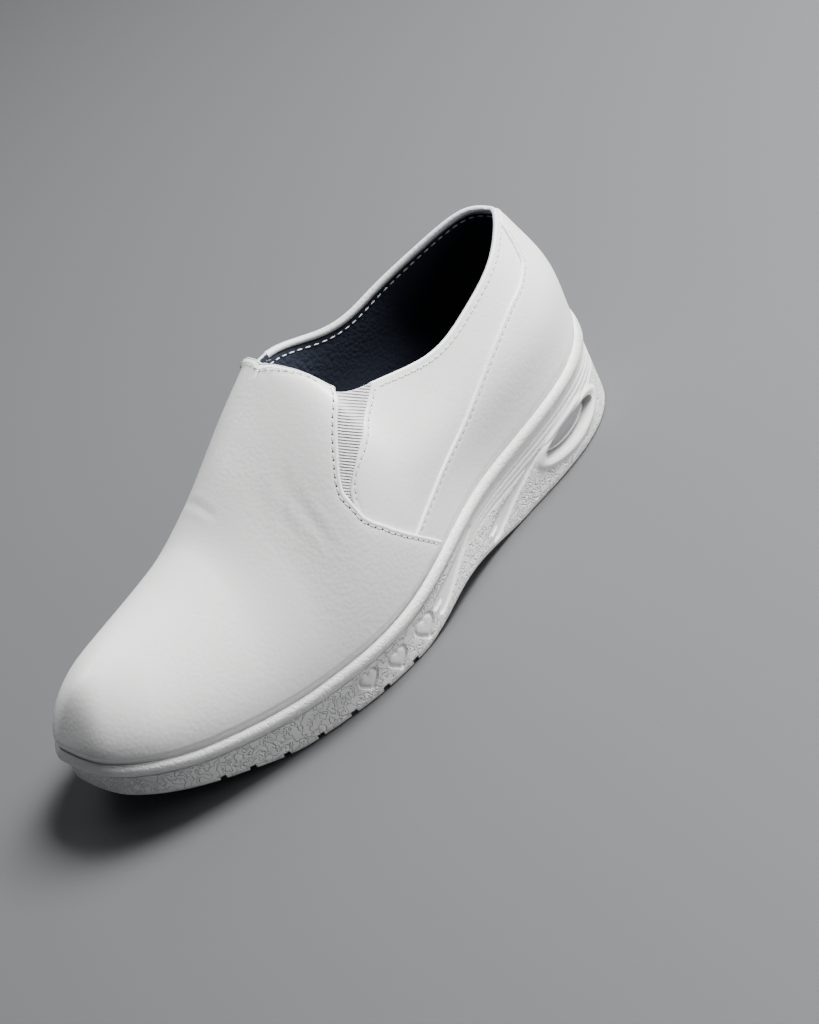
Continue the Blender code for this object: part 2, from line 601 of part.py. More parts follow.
# Upper: thin shell, with the counter panel and the front panel as raised steps
WALL_SHARES = (0.0, 0.09, 0.2, 0.32, 0.45, 0.58, 0.7, 0.81, 0.91, 1.0)
upper = upper_shell('upper', WALL_SHARES, True, 0.0, 0.0, WALL, shoe)
counter = upper_shell('counter_panel', WALL_SHARES, False, 0.5, COUNTER_STEP, 0.45 * WALL, cutters)
below = side_view(COUNTER_SEAM)
below += [(THROAT_X * 1.175, CUT_LOW), (-CUT_REACH, CUT_LOW), (-CUT_REACH, INSTEP_HEIGHT * 1.08)]
boolean(counter, prism('counter_cut', below, -CUT_REACH, CUT_REACH, cutters), 'INTERSECT')
boolean(upper, counter, 'UNION')
vamp = upper_shell('vamp_panel', WALL_SHARES, False, 0.6, VAMP_STEP, 0.55 * WALL, cutters)
ahead = side_view(VAMP_EDGE)
ahead += [(THROAT_X * 0.9, CUT_LOW), (1.1 * LENGTH, CUT_LOW), (1.1 * LENGTH, INSTEP_HEIGHT * 1.06)]
boolean(vamp, prism('vamp_cut', ahead, -CUT_REACH, CUT_REACH, cutters), 'INTERSECT')
boolean(upper, vamp, 'UNION')
wedge = side_view(GORE_REAR) + side_view(GORE_FRONT)[1:]
boolean(upper, prism('gore_cut', wedge, -CUT_REACH, CUT_REACH, cutters), 'DIFFERENCE')
finish(upper, (0.88, 0.88, 0.87), 0.45)

# Elastic wedges a hair smaller than their openings
slim = side_view(GORE_REAR, 1.6 * FIT_GAP)[:-1]
slim += [(THROAT_X * GORE_REAR[-1][0], INSTEP_HEIGHT * GORE_REAR[-1][1] + 4 * FIT_GAP)]
slim += side_view(GORE_FRONT, -1.6 * FIT_GAP)[1:]
for name, near, far in (('gore_lateral', 4, CUT_REACH), ('gore_medial', -CUT_REACH, -4)):
    gore = upper_shell(name, WALL_SHARES, False, -0.5, -GORE_SINK, GORE_SINK + GORE_THICK, shoe)
    boolean(gore, prism('gore_shape', slim, near, far, cutters), 'INTERSECT')
    finish(gore, (0.75, 0.76, 0.77), 0.9)

# Centre the finished shoe on its bounding box in plan
bpy.context.view_layer.update()
corners = np.array([tuple(v.co) for obj in shoe.objects for v in obj.data.vertices])
shift = -(corners.min(0) + corners.max(0)) / 2
for obj in shoe.objects:
    for vert in obj.data.vertices:
        vert.co.x += shift[0]
        vert.co.y += shift[1]
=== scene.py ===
import bpy
import numpy as np
from mathutils import Matrix


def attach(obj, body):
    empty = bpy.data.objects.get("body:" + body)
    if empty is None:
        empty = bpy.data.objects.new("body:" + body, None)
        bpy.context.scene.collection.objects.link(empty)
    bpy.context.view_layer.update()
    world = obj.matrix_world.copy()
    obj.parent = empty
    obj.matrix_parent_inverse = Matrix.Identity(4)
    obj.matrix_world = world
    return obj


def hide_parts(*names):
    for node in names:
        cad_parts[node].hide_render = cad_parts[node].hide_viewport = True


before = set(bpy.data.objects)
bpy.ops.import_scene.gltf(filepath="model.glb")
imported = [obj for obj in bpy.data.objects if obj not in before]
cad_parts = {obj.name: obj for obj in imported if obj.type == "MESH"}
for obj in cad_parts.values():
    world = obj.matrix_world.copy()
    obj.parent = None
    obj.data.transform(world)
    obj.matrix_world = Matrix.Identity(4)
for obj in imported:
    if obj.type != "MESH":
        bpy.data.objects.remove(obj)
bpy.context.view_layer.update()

# The camera stands to the outer side and in front of the shoe, as in the picture.
# It is rolled, since the shoe there leans with its heel up and here stands on the floor.
bpy.ops.object.select_all(action='DESELECT')
bpy.ops.object.camera_add()
camera = bpy.context.object
camera.name = 'camera'
camera.data.lens = 76.104
camera.data.sensor_width = 36
camera.data.clip_start = 0.05
camera.data.clip_end = 30
camera.matrix_world = Matrix((
    (-0.66544288, -0.63174915, 0.39759123, 0.3002487),
    (0.64133671, -0.21134809, 0.73757658, 0.6092625),
    (-0.38193323, 0.74580493, 0.54580400, 0.4659436),
    (0, 0, 0, 1),
))
bpy.context.scene.camera = camera

# Soft studio light: a wide lamp over the heel and the outer side, a weaker one at the outer side, a weaker
# still at the inner side, and an even pale surround.
for name, place, size, power, colour in (
        ('lamp_over_heel', (-0.76, 0.16, 1.05), 0.60, 62.0, (1.0, 0.995, 0.985)),
        ('lamp_outer_side', (-0.80, 1.00, 0.55), 0.80, 9.0, (1.0, 1.0, 1.0)),
        ('lamp_inner_side', (-0.20, -0.90, 0.90), 0.80, 3.2, (0.97, 0.98, 1.0))):
    bpy.ops.object.light_add(type='AREA', location=place)
    lamp = bpy.context.object
    lamp.name = name
    lamp.data.size = size
    lamp.data.energy = power
    lamp.data.color = colour
    aim = -lamp.location.normalized()
    lamp.rotation_mode = 'QUATERNION'
    lamp.rotation_quaternion = aim.to_track_quat('-Z', 'Y')
surround = bpy.data.worlds.new('surround')
bpy.context.scene.world = surround
surround.use_nodes = True
surround.node_tree.nodes['Background'].inputs['Color'].default_value = (0.80, 0.82, 0.85, 1)
surround.node_tree.nodes['Background'].inputs['Strength'].default_value = 0.11

# Pale studio floor, one large flat sheet under the shoe.
bpy.ops.object.select_all(action='DESELECT')
bpy.ops.mesh.primitive_plane_add(size=8, location=(0, 0, 0))
floor = bpy.context.object
floor.name = 'studio_floor'


def new_finish(name, roughness):
    """A material of the given roughness, with its nodes, its links and its main shader."""
    made = bpy.data.materials.new(name)
    made.use_nodes = True
    principled = made.node_tree.nodes['Principled BSDF']
    principled.inputs['Roughness'].default_value = roughness
    return made, made.node_tree.nodes, made.node_tree.links, principled


paint, nodes, links, shader = new_finish('studio_floor', 0.7)
shader.inputs['Base Color'].default_value = (0.090, 0.092, 0.097, 1)
floor.data.materials.append(paint)

# White full-grain leather, dyed right through, softly pebbled, with a thin finish coat.
# The quarters, the front panel and the heel counter are all cut from it.
grain = bpy.data.node_groups.new('leather grain', 'ShaderNodeTree')
grain.interface.new_socket('Vector', in_out='INPUT', socket_type='NodeSocketVector')
grain.interface.new_socket('Height', in_out='OUTPUT', socket_type='NodeSocketFloat')
grain.interface.new_socket('Tone', in_out='OUTPUT', socket_type='NodeSocketFloat')
tree = grain.nodes
take = tree.new('NodeGroupInput')
give = tree.new('NodeGroupOutput')
stir = tree.new('ShaderNodeTexNoise')
stir.inputs['Scale'].default_value = 260
stir.inputs['Detail'].default_value = 2
push = tree.new('ShaderNodeMixRGB')
push.blend_type = 'ADD'
push.inputs['Fac'].default_value = 0.0012
cells = tree.new('ShaderNodeTexVoronoi')
cells.feature = 'SMOOTH_F1'
cells.inputs['Scale'].default_value = 620
cells.inputs['Smoothness'].default_value = 0.35
patch = tree.new('ShaderNodeTexNoise')
patch.inputs['Scale'].default_value = 26
patch.inputs['Detail'].default_value = 2
strength = tree.new('ShaderNodeMapRange')
strength.inputs['From Min'].default_value = 0.38
strength.inputs['From Max'].default_value = 0.62
strength.inputs['To Min'].default_value = 0.35
pebble = tree.new('ShaderNodeMath')
pebble.operation = 'MULTIPLY'
link = grain.links.new
link(take.outputs['Vector'], stir.inputs['Vector'])
link(take.outputs['Vector'], push.inputs['Color1'])
link(stir.outputs['Color'], push.inputs['Color2'])
link(push.outputs['Color'], cells.inputs['Vector'])
link(take.outputs['Vector'], patch.inputs['Vector'])
link(patch.outputs['Fac'], strength.inputs['Value'])
link(cells.outputs['Distance'], pebble.inputs[0])
link(strength.outputs['Result'], pebble.inputs[1])
link(pebble.outputs[0], give.inputs['Height'])
link(patch.outputs['Fac'], give.inputs['Tone'])


def tinted(nodes, links, shader, first, second, mask):
    """Colours a finish between two tones by a mask."""
    mix = nodes.new('ShaderNodeMixRGB')
    mix.inputs['Color1'].default_value = (*first, 1)
    mix.inputs['Color2'].default_value = (*second, 1)
    links.new(mask, mix.inputs['Fac'])
    links.new(mix.outputs['Color'], shader.inputs['Base Color'])


def embossed(nodes, links, shader, height, depth):
    """Raises a finish by a height, up to a depth in metres."""
    bump = nodes.new('ShaderNodeBump')
    bump.inputs['Distance'].default_value = depth
    links.new(height, bump.inputs['Height'])
    links.new(bump.outputs['Normal'], shader.inputs['Normal'])
    return bump


def grained(name, light, dark, roughness, depth):
    """Material whose colour runs between two tones and whose surface carries the grain."""
    made, nodes, links, principled = new_finish(name, roughness)
    place = nodes.new('ShaderNodeTexCoord')
    group = nodes.new('ShaderNodeGroup')
    group.node_tree = grain
    links.new(place.outputs['Object'], group.inputs['Vector'])
    tinted(nodes, links, principled, light, dark, group.outputs['Tone'])
    embossed(nodes, links, principled, group.outputs['Height'], depth).invert = True
    return made


leather = grained('white leather', (0.90, 0.90, 0.895), (0.87, 0.87, 0.865), 0.40, 0.00007)
leather.node_tree.nodes['Principled BSDF'].inputs['Coat Weight'].default_value = 0.15
leather.node_tree.nodes['Principled BSDF'].inputs['Coat Roughness'].default_value = 0.35
cut_edge = grained('leather cut edge', (0.60, 0.64, 0.69), (0.52, 0.56, 0.62), 0.75, 0.0002)
lining_cloth = grained('dark lining', (0.004, 0.008, 0.020), (0.007, 0.012, 0.028), 0.95, 0.0003)

# The upper's surface, as it sits on the last. Sizes in millimetres, heel at x 0, then centred.
# Everything made of leather, elastic or lining is laid on it at its own depth.
LENGTH, LATERAL_BALL, MEDIAL_BALL = 262.0, 53.5, 44.0
HEEL_SIDE, TOE_SPRING, ARCH_RISE, CUP_DEPTH = 33.8, 14.5, 4.9, 8.0
BACK_HEIGHT, INSTEP_HEIGHT, THROAT_X, RIDGE_SIDE, COLLAR_HALF = 89.5, 101.0, 125.0, 8.0, 33.0
WRAP_RISE, HEEL_BULGE, WALL, RIDGE_START, RIDGE_ROUND, RIDGE_SOFT = 6.5, 1.6, 2.0, 0.5263, 0.02, 0.35
CENTRE = np.array([-131.5225, -5.2097, 0.0])
OUTLINE = (
    (0.00, 0.000, 0.000), (0.06, 0.206, -0.250), (0.12, 0.383, -0.455), (0.20, 0.575, -0.636),
    (0.30, 0.700, -0.727), (0.40, 0.768, -0.672), (0.50, 0.960, -0.655), (0.60, 1.000, -0.912),
    (0.68, 0.862, -0.995), (0.76, 0.680, -0.955), (0.84, 0.468, -0.818), (0.90, 0.277, -0.614),
    (0.95, 0.073, -0.432), (1.00, -0.262, -0.318),
)
RIM = (
    (0.000, 1.000, 0.0), (0.115, 1.000, 0.0), (0.267, 0.914, 0.0), (0.420, 0.811, 0.0), (0.573, 0.624, 0.0),
    (0.725, 0.583, 0.0), (0.878, 0.490, 0.42), (1.000, 0.470, 1.0),
)
UNDER = (
    (0.000, 0.40, 0.0), (0.035, 0.00, 0.0), (0.290, 0.00, 0.0), (0.440, 1.00, 0.0), (0.575, 0.00, 0.0),
    (0.630, 0.00, 0.0), (0.765, 0.00, 0.0), (0.880, 0.00, 0.40), (1.000, 0.00, 1.0),
)
CREST = (
    (0.00, 0.065, 0.000, 0.000, 0.891, 0.0), (0.10, 0.128, 0.348, -0.300, 0.910, 0.0),
    (0.20, 0.279, 0.724, -0.612, 0.860, 0.0), (0.30, 0.469, 0.897, -0.824, 0.806, 0.0),
    (0.39, 0.670, 0.994, -0.948, 0.797, 0.0), (0.452, 0.866, 0.979, -0.976, 0.870, 0.15),
    (0.480, 0.957, 0.845, -0.745, 0.915, 0.45), (0.505, 0.982, 0.452, -0.494, 0.980, 0.8),
    (0.5263, 1.000, -0.103, -0.103, 1.000, 1.0),
)
RIDGE = (
    (0.5263, 0.000, 0.425, 1.000), (0.62, 0.219, 0.430, 0.804), (0.72, 0.445, 0.430, 0.609),
    (0.82, 0.628, 0.500, 0.547), (0.91, 0.764, 0.680, 0.521), (1.00, 0.832, 0.850, 0.503),
)
ROUNDNESS = ((0.0, 2.50), (0.5263, 2.65), (0.65, 1.82), (0.80, 1.86), (0.90, 1.83), (1.00, 2.16))


def natural(rows, column, at):
    """Natural cubic through a table's column."""
    x = np.array([row[0] for row in rows], float)
    y = np.array([row[column] for row in rows], float)
    n, h = len(x), np.diff(x)
    system, right = np.eye(n), np.zeros(n)
    for i in range(1, n - 1):
        system[i, i - 1:i + 2] = h[i - 1], 2 * (h[i - 1] + h[i]), h[i]
        right[i] = 6 * ((y[i + 1] - y[i]) / h[i] - (y[i] - y[i - 1]) / h[i - 1])
    bend = np.linalg.solve(system, right)
    k = np.clip(np.searchsorted(x, at) - 1, 0, n - 2)
    a, b = (x[k + 1] - at) / h[k], (at - x[k]) / h[k]
    return a * y[k] + b * y[k + 1] + ((a ** 3 - a) * bend[k] + (b ** 3 - b) * bend[k + 1]) * h[k] ** 2 / 6


def steady(rows, column, at):
    """Cubic through a table's column that keeps flat runs flat."""
    x = np.array([row[0] for row in rows], float)
    y = np.array([row[column] for row in rows], float)
    h = np.diff(x)
    rise = np.diff(y) / h
    slope = np.zeros(len(x))
    for i in range(1, len(x) - 1):
        if rise[i - 1] * rise[i] > 0:
            w1, w2 = 2 * h[i] + h[i - 1], h[i] + 2 * h[i - 1]
            slope[i] = (w1 + w2) / (w1 / rise[i - 1] + w2 / rise[i])
    slope[0], slope[-1] = rise[0], rise[-1]
    k = np.clip(np.searchsorted(x, at) - 1, 0, len(x) - 2)
    t = (at - x[k]) / h[k]
    return ((1 + 2 * t) * (1 - t) ** 2 * y[k] + t * (1 - t) ** 2 * h[k] * slope[k]
            + t * t * (3 - 2 * t) * y[k + 1] + t * t * (t - 1) * h[k] * slope[k + 1])


def place_of(q):
    """Turns a trip heel, outer side, toe (1), inner side, heel (2) into a place 0 to 1 and a side."""
    q = np.mod(q, 2.0)
    return np.where(q <= 1, q, 2 - q), q <= 1


def ahead(s):
    """Distance from the heel at a place."""
    return LENGTH * (1 - np.cos(np.pi * s)) / 2


def plan(q):
    """Outline of the sole seen from above."""
    s, outer = place_of(q)
    side = np.where(outer, LATERAL_BALL * natural(OUTLINE, 1, s), MEDIAL_BALL * natural(OUTLINE, 2, s))
    return np.stack([ahead(s), side], -1)


def inset_plan(q, inset):
    """Outline moved in by a distance."""
    run = plan(q + 0.004) - plan(q - 0.004)
    run = run / np.linalg.norm(run, axis=-1, keepdims=True)
    inward = np.stack([run[..., 1], -run[..., 0]], -1)
    return plan(q) + np.asarray(inset)[..., None] * inward


def rim_height(x):
    """Height of the sole's top edge."""
    share = np.clip(x / LENGTH, 0, 1)
    return HEEL_SIDE * natural(RIM, 1, share) + TOE_SPRING * steady(RIM, 2, share)


def under_height(x):
    """Height of the sole's underside."""
    share = np.clip(x / LENGTH, 0, 1)
    return ARCH_RISE * steady(UNDER, 1, share) + TOE_SPRING * steady(UNDER, 2, share)


def wrap_rise(s):
    """How far the sole climbs the leather round the heel."""
    near = np.clip(1 - s / 0.24, 0, 1)
    return WRAP_RISE * near ** 2 * (3 - 2 * near)


def round_toe(s):
    """Place slowed down at the toe, so that the two sides meet there without a crease."""
    front = (np.hypot(1 - s, 0.04) - 0.04) * (1 - RIDGE_START) / (np.hypot(1 - RIDGE_START, 0.04) - 0.04)
    return np.where(s > RIDGE_START, 1 - front, s)


def top_point(q):
    """Top of the upper's surface at q, and how far its section is rounded over."""
    s, outer = place_of(q)
    s = round_toe(s)
    low, high = np.minimum(s, RIDGE_START), np.maximum(s, RIDGE_START)
    front = s >= RIDGE_START
    ridge_x = THROAT_X + (LENGTH - THROAT_X) * natural(RIDGE, 1, high)
    x = np.where(front, ridge_x, THROAT_X * natural(CREST, 1, low))
    side = COLLAR_HALF * np.where(outer, natural(CREST, 2, low), natural(CREST, 3, low))
    side = np.where(front, -RIDGE_SIDE * natural(RIDGE, 2, high), side)
    height = INSTEP_HEIGHT * natural(CREST, 4, low)
    height = height + (BACK_HEIGHT - INSTEP_HEIGHT * CREST[0][4]) * np.clip(1 - s / 0.3, 0, 1) ** 2
    height = np.where(front, INSTEP_HEIGHT * steady(RIDGE, 3, high), height)
    return np.stack([x, side, height], -1), np.where(front, 1.0, steady(CREST, 5, low))


def section(q, v):
    """Point at q round the shoe and v from sole (0) to top (1), before its throat corner is eased."""
    q, v = np.broadcast_arrays(np.asarray(q, float), np.asarray(v, float))
    s, outer = place_of(q)
    base = np.concatenate([inset_plan(q, 0.8 + 0 * q), rim_height(ahead(s))[..., None]], -1)
    top, over = top_point(q)
    s = round_toe(s)
    power = steady(ROUNDNESS, 1, s)
    tilt = 0.7 * np.clip((s - 0.85) / 0.15, 0, 1) ** 1.5
    away = np.maximum(np.cos(np.clip(v, 0, 1) * np.pi / 2), 0) ** (2 / power)
    eased = (np.hypot(away, RIDGE_ROUND) - RIDGE_ROUND) / (np.hypot(1, RIDGE_ROUND) - RIDGE_ROUND)
    arch = np.maximum(1 - eased ** power, 0) ** (1 / power) * (1 - tilt * away ** 2)
    turn = np.clip((s - 0.62) / 0.32, 0, 1)
    turn = turn * turn * (3 - 2 * turn)
    radius = RIDGE_ROUND + (RIDGE_SOFT - RIDGE_ROUND) * (1 - turn)
    soft = 1 - (np.hypot(away, radius) - radius) / (np.hypot(1, radius) - radius)
    forward = (1 - over) * v ** 2.4 + over * ((1 - turn) * arch + turn * soft)
    inward = (1 - over) * v ** 2.4 + over * (1 - away)
    raised = (1 - over) * v + over * arch
    point = base + (top - base) * np.stack([forward, inward, raised], -1)
    out = plan(q) - inset_plan(q, 1.0 + 0 * q)
    point[..., :2] += out * ((1 - over) * HEEL_BULGE * np.sin(np.pi * v) ** 3)[..., None]
    return point


def skin(q, v):
    """The upper's outer surface, with the turn below the throat's corners eased."""
    q, v = np.broadcast_arrays(np.asarray(q, float), np.asarray(v, float))
    near = np.exp(-((place_of(q)[0] - RIDGE_START) / 0.06) ** 2) * (1 - np.clip(v, 0, 1) ** 4)
    total = 3 * section(q, v)
    for weight, reach in ((2, 0.016), (1, 0.032)):
        total = total + weight * (section(q + reach * near, v) + section(q - reach * near, v))
    return total / 9


def facing(q, v):
    """Outward direction of the surface."""
    q, v = np.broadcast_arrays(np.asarray(q, float), np.asarray(v, float))
    v = np.clip(v, 0.012, 0.988)
    along = skin(q + 0.003, v) - skin(q - 0.003, v)
    up = skin(q, v + 0.01) - skin(q, v - 0.01)
    n = np.cross(up, along)
    n /= np.linalg.norm(n, axis=-1, keepdims=True)
    return n


def crossing(q_grid, v_grid, edge, falling=False):
    """Where a function of the side view changes sign along the last axis, as the parameter given first."""
    points = skin(q_grid, v_grid)
    value = edge(points[..., 0], points[..., 2])
    sign = value < 0 if not falling else value > 0
    index = np.clip(np.argmax(~sign, axis=-1), 1, None)
    pick = np.arange(len(index))
    a, b = value[pick, index - 1], value[pick, index]
    return index - 1 + np.clip(a / (a - b + 1e-12), 0, 1)


def put_points(piece, points):
    """Puts a mesh's points at places in millimetres, heel at x 0."""
    piece.data.vertices.foreach_set('co', ((points + CENTRE) * 0.001).astype(np.float32).ravel())


def points_of(piece):
    """The mesh's points as they are."""
    return np.array([tuple(v.co) for v in piece.data.vertices])


def new_grid(name, points):
    """A grid of faces on the given points, rows by columns."""
    bpy.ops.object.select_all(action='DESELECT')
    rows, columns = points.shape[:2]
    bpy.ops.mesh.primitive_grid_add(x_subdivisions=columns - 1, y_subdivisions=rows - 1)
    made = bpy.context.object
    made.name = name
    put_points(made, points)
    return made


def face_outwards(merge=False, fill=False):
    """Turns the active piece's faces outwards, after merging doubles and filling ends where asked."""
    bpy.ops.object.mode_set(mode='EDIT')
    bpy.ops.mesh.select_all(action='SELECT')
    if merge:
        bpy.ops.mesh.remove_doubles(threshold=0.00001)
    if fill:
        bpy.ops.mesh.select_all(action='SELECT')
        bpy.ops.mesh.fill_holes(sides=4)
        bpy.ops.mesh.select_all(action='SELECT')
    bpy.ops.mesh.normals_make_consistent(inside=False)
    bpy.ops.object.mode_set(mode='OBJECT')


def laid(name, points, material, thick=0.0, inward=False, edge_rows=()):
    """A sheet of leather or cloth: a grid on the given points, rows by columns, then given its thickness.

    Its faces look away from the shoe's middle, or towards it, and the listed rows show the cut edge.
    """
    sheet = new_grid(name, points)
    sheet.data.update()
    sheet.data.materials.append(material)
    faces = np.array([[*face.normal, *face.center, face.area] for face in sheet.data.polygons])
    looks_out = (faces[:, 1] * faces[:, 4] + faces[:, 2] * (faces[:, 5] - 0.04)) @ faces[:, 6] > 0
    if len(edge_rows):
        sheet.data.materials.append(cut_edge)
        row_of = np.arange(len(faces)) // (points.shape[1] - 1)
        sheet.data.polygons.foreach_set('material_index', np.isin(row_of, edge_rows).astype(np.int32))
    bpy.ops.object.mode_set(mode='EDIT')
    bpy.ops.mesh.select_all(action='SELECT')
    bpy.ops.mesh.remove_doubles(threshold=0.00001)
    if looks_out == inward:
        bpy.ops.mesh.flip_normals()
    bpy.ops.object.mode_set(mode='OBJECT')
    if thick:
        wall = sheet.modifiers.new('thickness', 'SOLIDIFY')
        wall.thickness = thick * 0.001
        wall.offset = -1
        bpy.ops.object.modifier_apply(modifier=wall.name)
    bpy.ops.object.shade_smooth()
    return sheet


# Quarters: one piece of leather from the front of one elastic wedge round the heel to the other.
# Its top edge is turned over the lining, and its front edges overlap the wedges.
GORE_REAR = ((0.780, 1.060), (0.867, 0.869), (0.909, 0.840), (0.963, 0.813), (1.064, 0.747), (1.146, 0.656),
             (1.162, 0.580), (1.120, 0.460), (1.060, 0.300), (1.040, 0.150))


def running_mean(values, reach):
    """Values averaged over each one's neighbours up to the given reach."""
    width = 2 * reach + 1
    return np.convolve(np.pad(values, reach, mode='edge'), np.ones(width) / width, mode='valid')


def line_x(table, z):
    """X of a side-view line at a height."""
    rows = sorted((b * INSTEP_HEIGHT, a * THROAT_X) for a, b in table)
    return steady(rows, 1, np.clip(z, rows[0][0], rows[-1][0]))


def edge_places(table, v, side):
    """Place s on each row v where the side-view line crosses the surface on that side."""
    s = np.linspace(0.33, 0.62, 400)
    q = s if side > 0 else 2 - s
    at = crossing(q[None, :], v[:, None], lambda x, z: x - line_x(table, z))
    s_at = np.interp(at, np.arange(400), s)
    return running_mean(s_at, 1)


def run_from(q_edge, v, towards, distances):
    """Places that lie the given distances in from an edge, measured square to it."""
    edge = skin(q_edge, v)
    step = skin(q_edge + towards * 0.003, v) - skin(q_edge - towards * 0.003, v)
    speed = np.linalg.norm(step, axis=-1) / 0.006
    tangent = np.gradient(edge, axis=0)
    tangent /= np.linalg.norm(tangent, axis=-1, keepdims=True) + 1e-9
    square = np.linalg.norm(np.cross(step / np.linalg.norm(step, axis=-1, keepdims=True), tangent), axis=-1)
    rate = running_mean(speed * np.clip(square, 0.35, 1), 6)
    return q_edge[:, None] + towards * distances[None, :] / rate[:, None]


EDGE_STEPS = np.array([0.0, 0.08, 0.2, 0.4, 0.7, 1.1, 1.5, 1.9, 2.3, 2.8])


def edge_distances(columns):
    """Distance of each column from the panel's nearer side edge, and a large one away from both."""
    far = np.full(columns, 9.0)
    far[:len(EDGE_STEPS)] = EDGE_STEPS
    far[-len(EDGE_STEPS):] = EDGE_STEPS[::-1]
    return far


def edge_rise(distance, step, radius=0.7):
    """Height of a panel near its edge: a rounded edge, then a faint furrow where it is stitched."""
    round_edge = step * np.sqrt(np.clip(1 - (1 - np.clip(distance / radius, 0, 1)) ** 2, 0, 1))
    return round_edge - 0.16 * np.exp(-((distance - 1.9) / 0.5) ** 2)


def tucked(points, q, v):
    """1 well above the sole's rim, 0 where the leather goes down behind it."""
    s, outer = place_of(q)
    above = points[..., 2] - rim_height(ahead(s)) - wrap_rise(s) * 0.6
    t = np.clip(above / 3.0, 0, 1)
    return t * t * (3 - 2 * t)


# Fold of the top edge: in from the surface, up from the top line.
RIM_FOLD = (
    (-0.20, 0.30), (-0.60, 0.52), (-1.10, 0.58), (-1.60, 0.48), (-2.00, 0.15), (-2.20, -0.6), (-2.25, -2.0),
)


def top_path(q):
    """Top line through the given places, with the surface's direction and the way up out of the edge."""
    points = skin(q, 1.0 + 0 * q)
    n = facing(q, 0.985 + 0 * q)
    tangent = np.gradient(points, axis=0)
    up = np.cross(n, tangent)
    up /= np.linalg.norm(up, axis=-1, keepdims=True)
    turn = np.sign((up * (skin(q, 1.0 + 0 * q) - skin(q, 0.9 + 0 * q))).sum(-1).mean())
    return points, n, up * turn


rows_v = np.concatenate([0.9 * np.linspace(0, 1, 106) ** 1.3, np.linspace(0.9, 1.0, 12)[1:]])
gore_s_outer = edge_places(GORE_REAR, rows_v, 1)
gore_s_inner = edge_places(GORE_REAR, rows_v, -1)
outer_steps = run_from(gore_s_outer, rows_v, -1, EDGE_STEPS)
inner_steps = run_from(-gore_s_inner, rows_v, 1, EDGE_STEPS)
middle = np.linspace(0, 1, 332)[1:-1]
between = outer_steps[:, -1:] + (inner_steps[:, -1:] - outer_steps[:, -1:]) * middle[None, :]
quarter_q = np.concatenate([outer_steps, between, inner_steps[:, ::-1]], 1)
quarter_v = np.broadcast_to(rows_v[:, None], quarter_q.shape)
from_edge = edge_distances(quarter_q.shape[1])
surface = skin(quarter_q, quarter_v)
direction = facing(quarter_q, quarter_v)
lift = edge_rise(from_edge, 1.0) - 1.0
quarter_lift = lift[None, :] * tucked(surface, quarter_q, quarter_v) - 0.05
quarter_points = surface + direction * quarter_lift[..., None]
foot = quarter_points[:1] - np.array([0, 0, 4.0])
top_q = quarter_q[-1]
crest_points, crest_n, crest_up = top_path(top_q)
fold = []
for out_by, up_by in RIM_FOLD:
    stand = out_by + np.minimum(lift, 0) * (out_by > -1)
    fold.append(crest_points + crest_n * stand[:, None] + crest_up * up_by)
all_rows = np.concatenate([foot, quarter_points, np.array(fold)], 0)
quarters = laid('quarters', all_rows, leather, 0.45, edge_rows=len(rows_v) + 1 + np.array([1, 2, 3]))
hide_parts('upper')
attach(quarters, 'root')

# Elastic wedges: ribbed woven elastic let into each side between quarter and front panel,
# a step lower than both, with a narrow plain edge along the top.
elastic, nodes, links, shader = new_finish('ribbed elastic', 0.85)
shader.inputs['Sheen Weight'].default_value = 0.2
place = nodes.new('ShaderNodeTexCoord')
down = nodes.new('ShaderNodeVectorMath')
down.operation = 'DOT_PRODUCT'
down.inputs[1].default_value = (-0.62 * 6283, 0.0, 0.78 * 6283)
uneven = nodes.new('ShaderNodeTexNoise')
uneven.inputs['Scale'].default_value = 700
wobble = nodes.new('ShaderNodeMath')
wobble.operation = 'MULTIPLY_ADD'
wobble.inputs[1].default_value = 2.2
rib_height_and_shade = nodes.new('ShaderNodeMath')
rib_height_and_shade.operation = 'SINE'
links.new(place.outputs['Object'], down.inputs[0])
links.new(place.outputs['Object'], uneven.inputs['Vector'])
links.new(uneven.outputs['Fac'], wobble.inputs[0])
links.new(down.outputs['Value'], wobble.inputs[2])
links.new(wobble.outputs[0], rib_height_and_shade.inputs[0])
# The elastic's grey follows the rib height: its own grey, lighter on the crests and darker in the troughs,
# which is painted shade between the ribs.
tinted(nodes, links, shader, (0.54, 0.545, 0.55), (0.67, 0.675, 0.68), rib_height_and_shade.outputs[0])
embossed(nodes, links, shader, rib_height_and_shade.outputs[0], 0.0002)

VAMP_EDGE = (
    (0.860, 1.060), (0.910, 0.950), (0.960, 0.917), (0.980, 0.904), (1.024, 0.868), (1.098, 0.773),
    (1.130, 0.723), (1.149, 0.677), (1.150, 0.607), (1.105, 0.503), (1.055, 0.419), (0.960, 0.272),
    (0.900, 0.150),
)
GORE_FOLD = ((-0.8, 0.25), (-1.2, 0.35), (-1.7, 0.2), (-1.9, -0.5), (-1.9, -3.0))
vamp_s_outer = edge_places(VAMP_EDGE, rows_v, 1)
vamp_s_inner = edge_places(VAMP_EDGE, rows_v, -1)
for name, side, rear, front, node in (('elastic_outer', 1, gore_s_outer, vamp_s_outer, 'gore_lateral'),
                                      ('elastic_inner', -1, gore_s_inner, vamp_s_inner, 'gore_medial')):
    tall = rows_v > 0.33
    share = np.linspace(-0.10, 1.12, 34)
    s_here = rear[tall, None] + np.maximum(front - rear, 0.004)[tall, None] * share[None, :]
    q_here = s_here if side > 0 else 2 - s_here
    v_here = np.broadcast_to(rows_v[tall][:, None], q_here.shape)
    sunk = skin(q_here, v_here) - facing(q_here, v_here) * 0.75
    path, n, up = top_path(q_here[-1])
    fold = [path + n * out_by + up * up_by for out_by, up_by in GORE_FOLD]
    grid = np.concatenate([sunk, np.array(fold)], 0)
    wedge = laid(name, grid, elastic, 0.4, edge_rows=tall.sum() - 1 + np.array([0, 1, 2]))
    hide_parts(node)
    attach(wedge, 'root')

# Front panel: one piece of leather over the toe and instep, lapped over the quarters and the
# elastic wedges and stitched down along its side edges. Its top edge is the throat.
shares_side = np.linspace(0, 1, 16)[1:]
TOE_START = 0.64


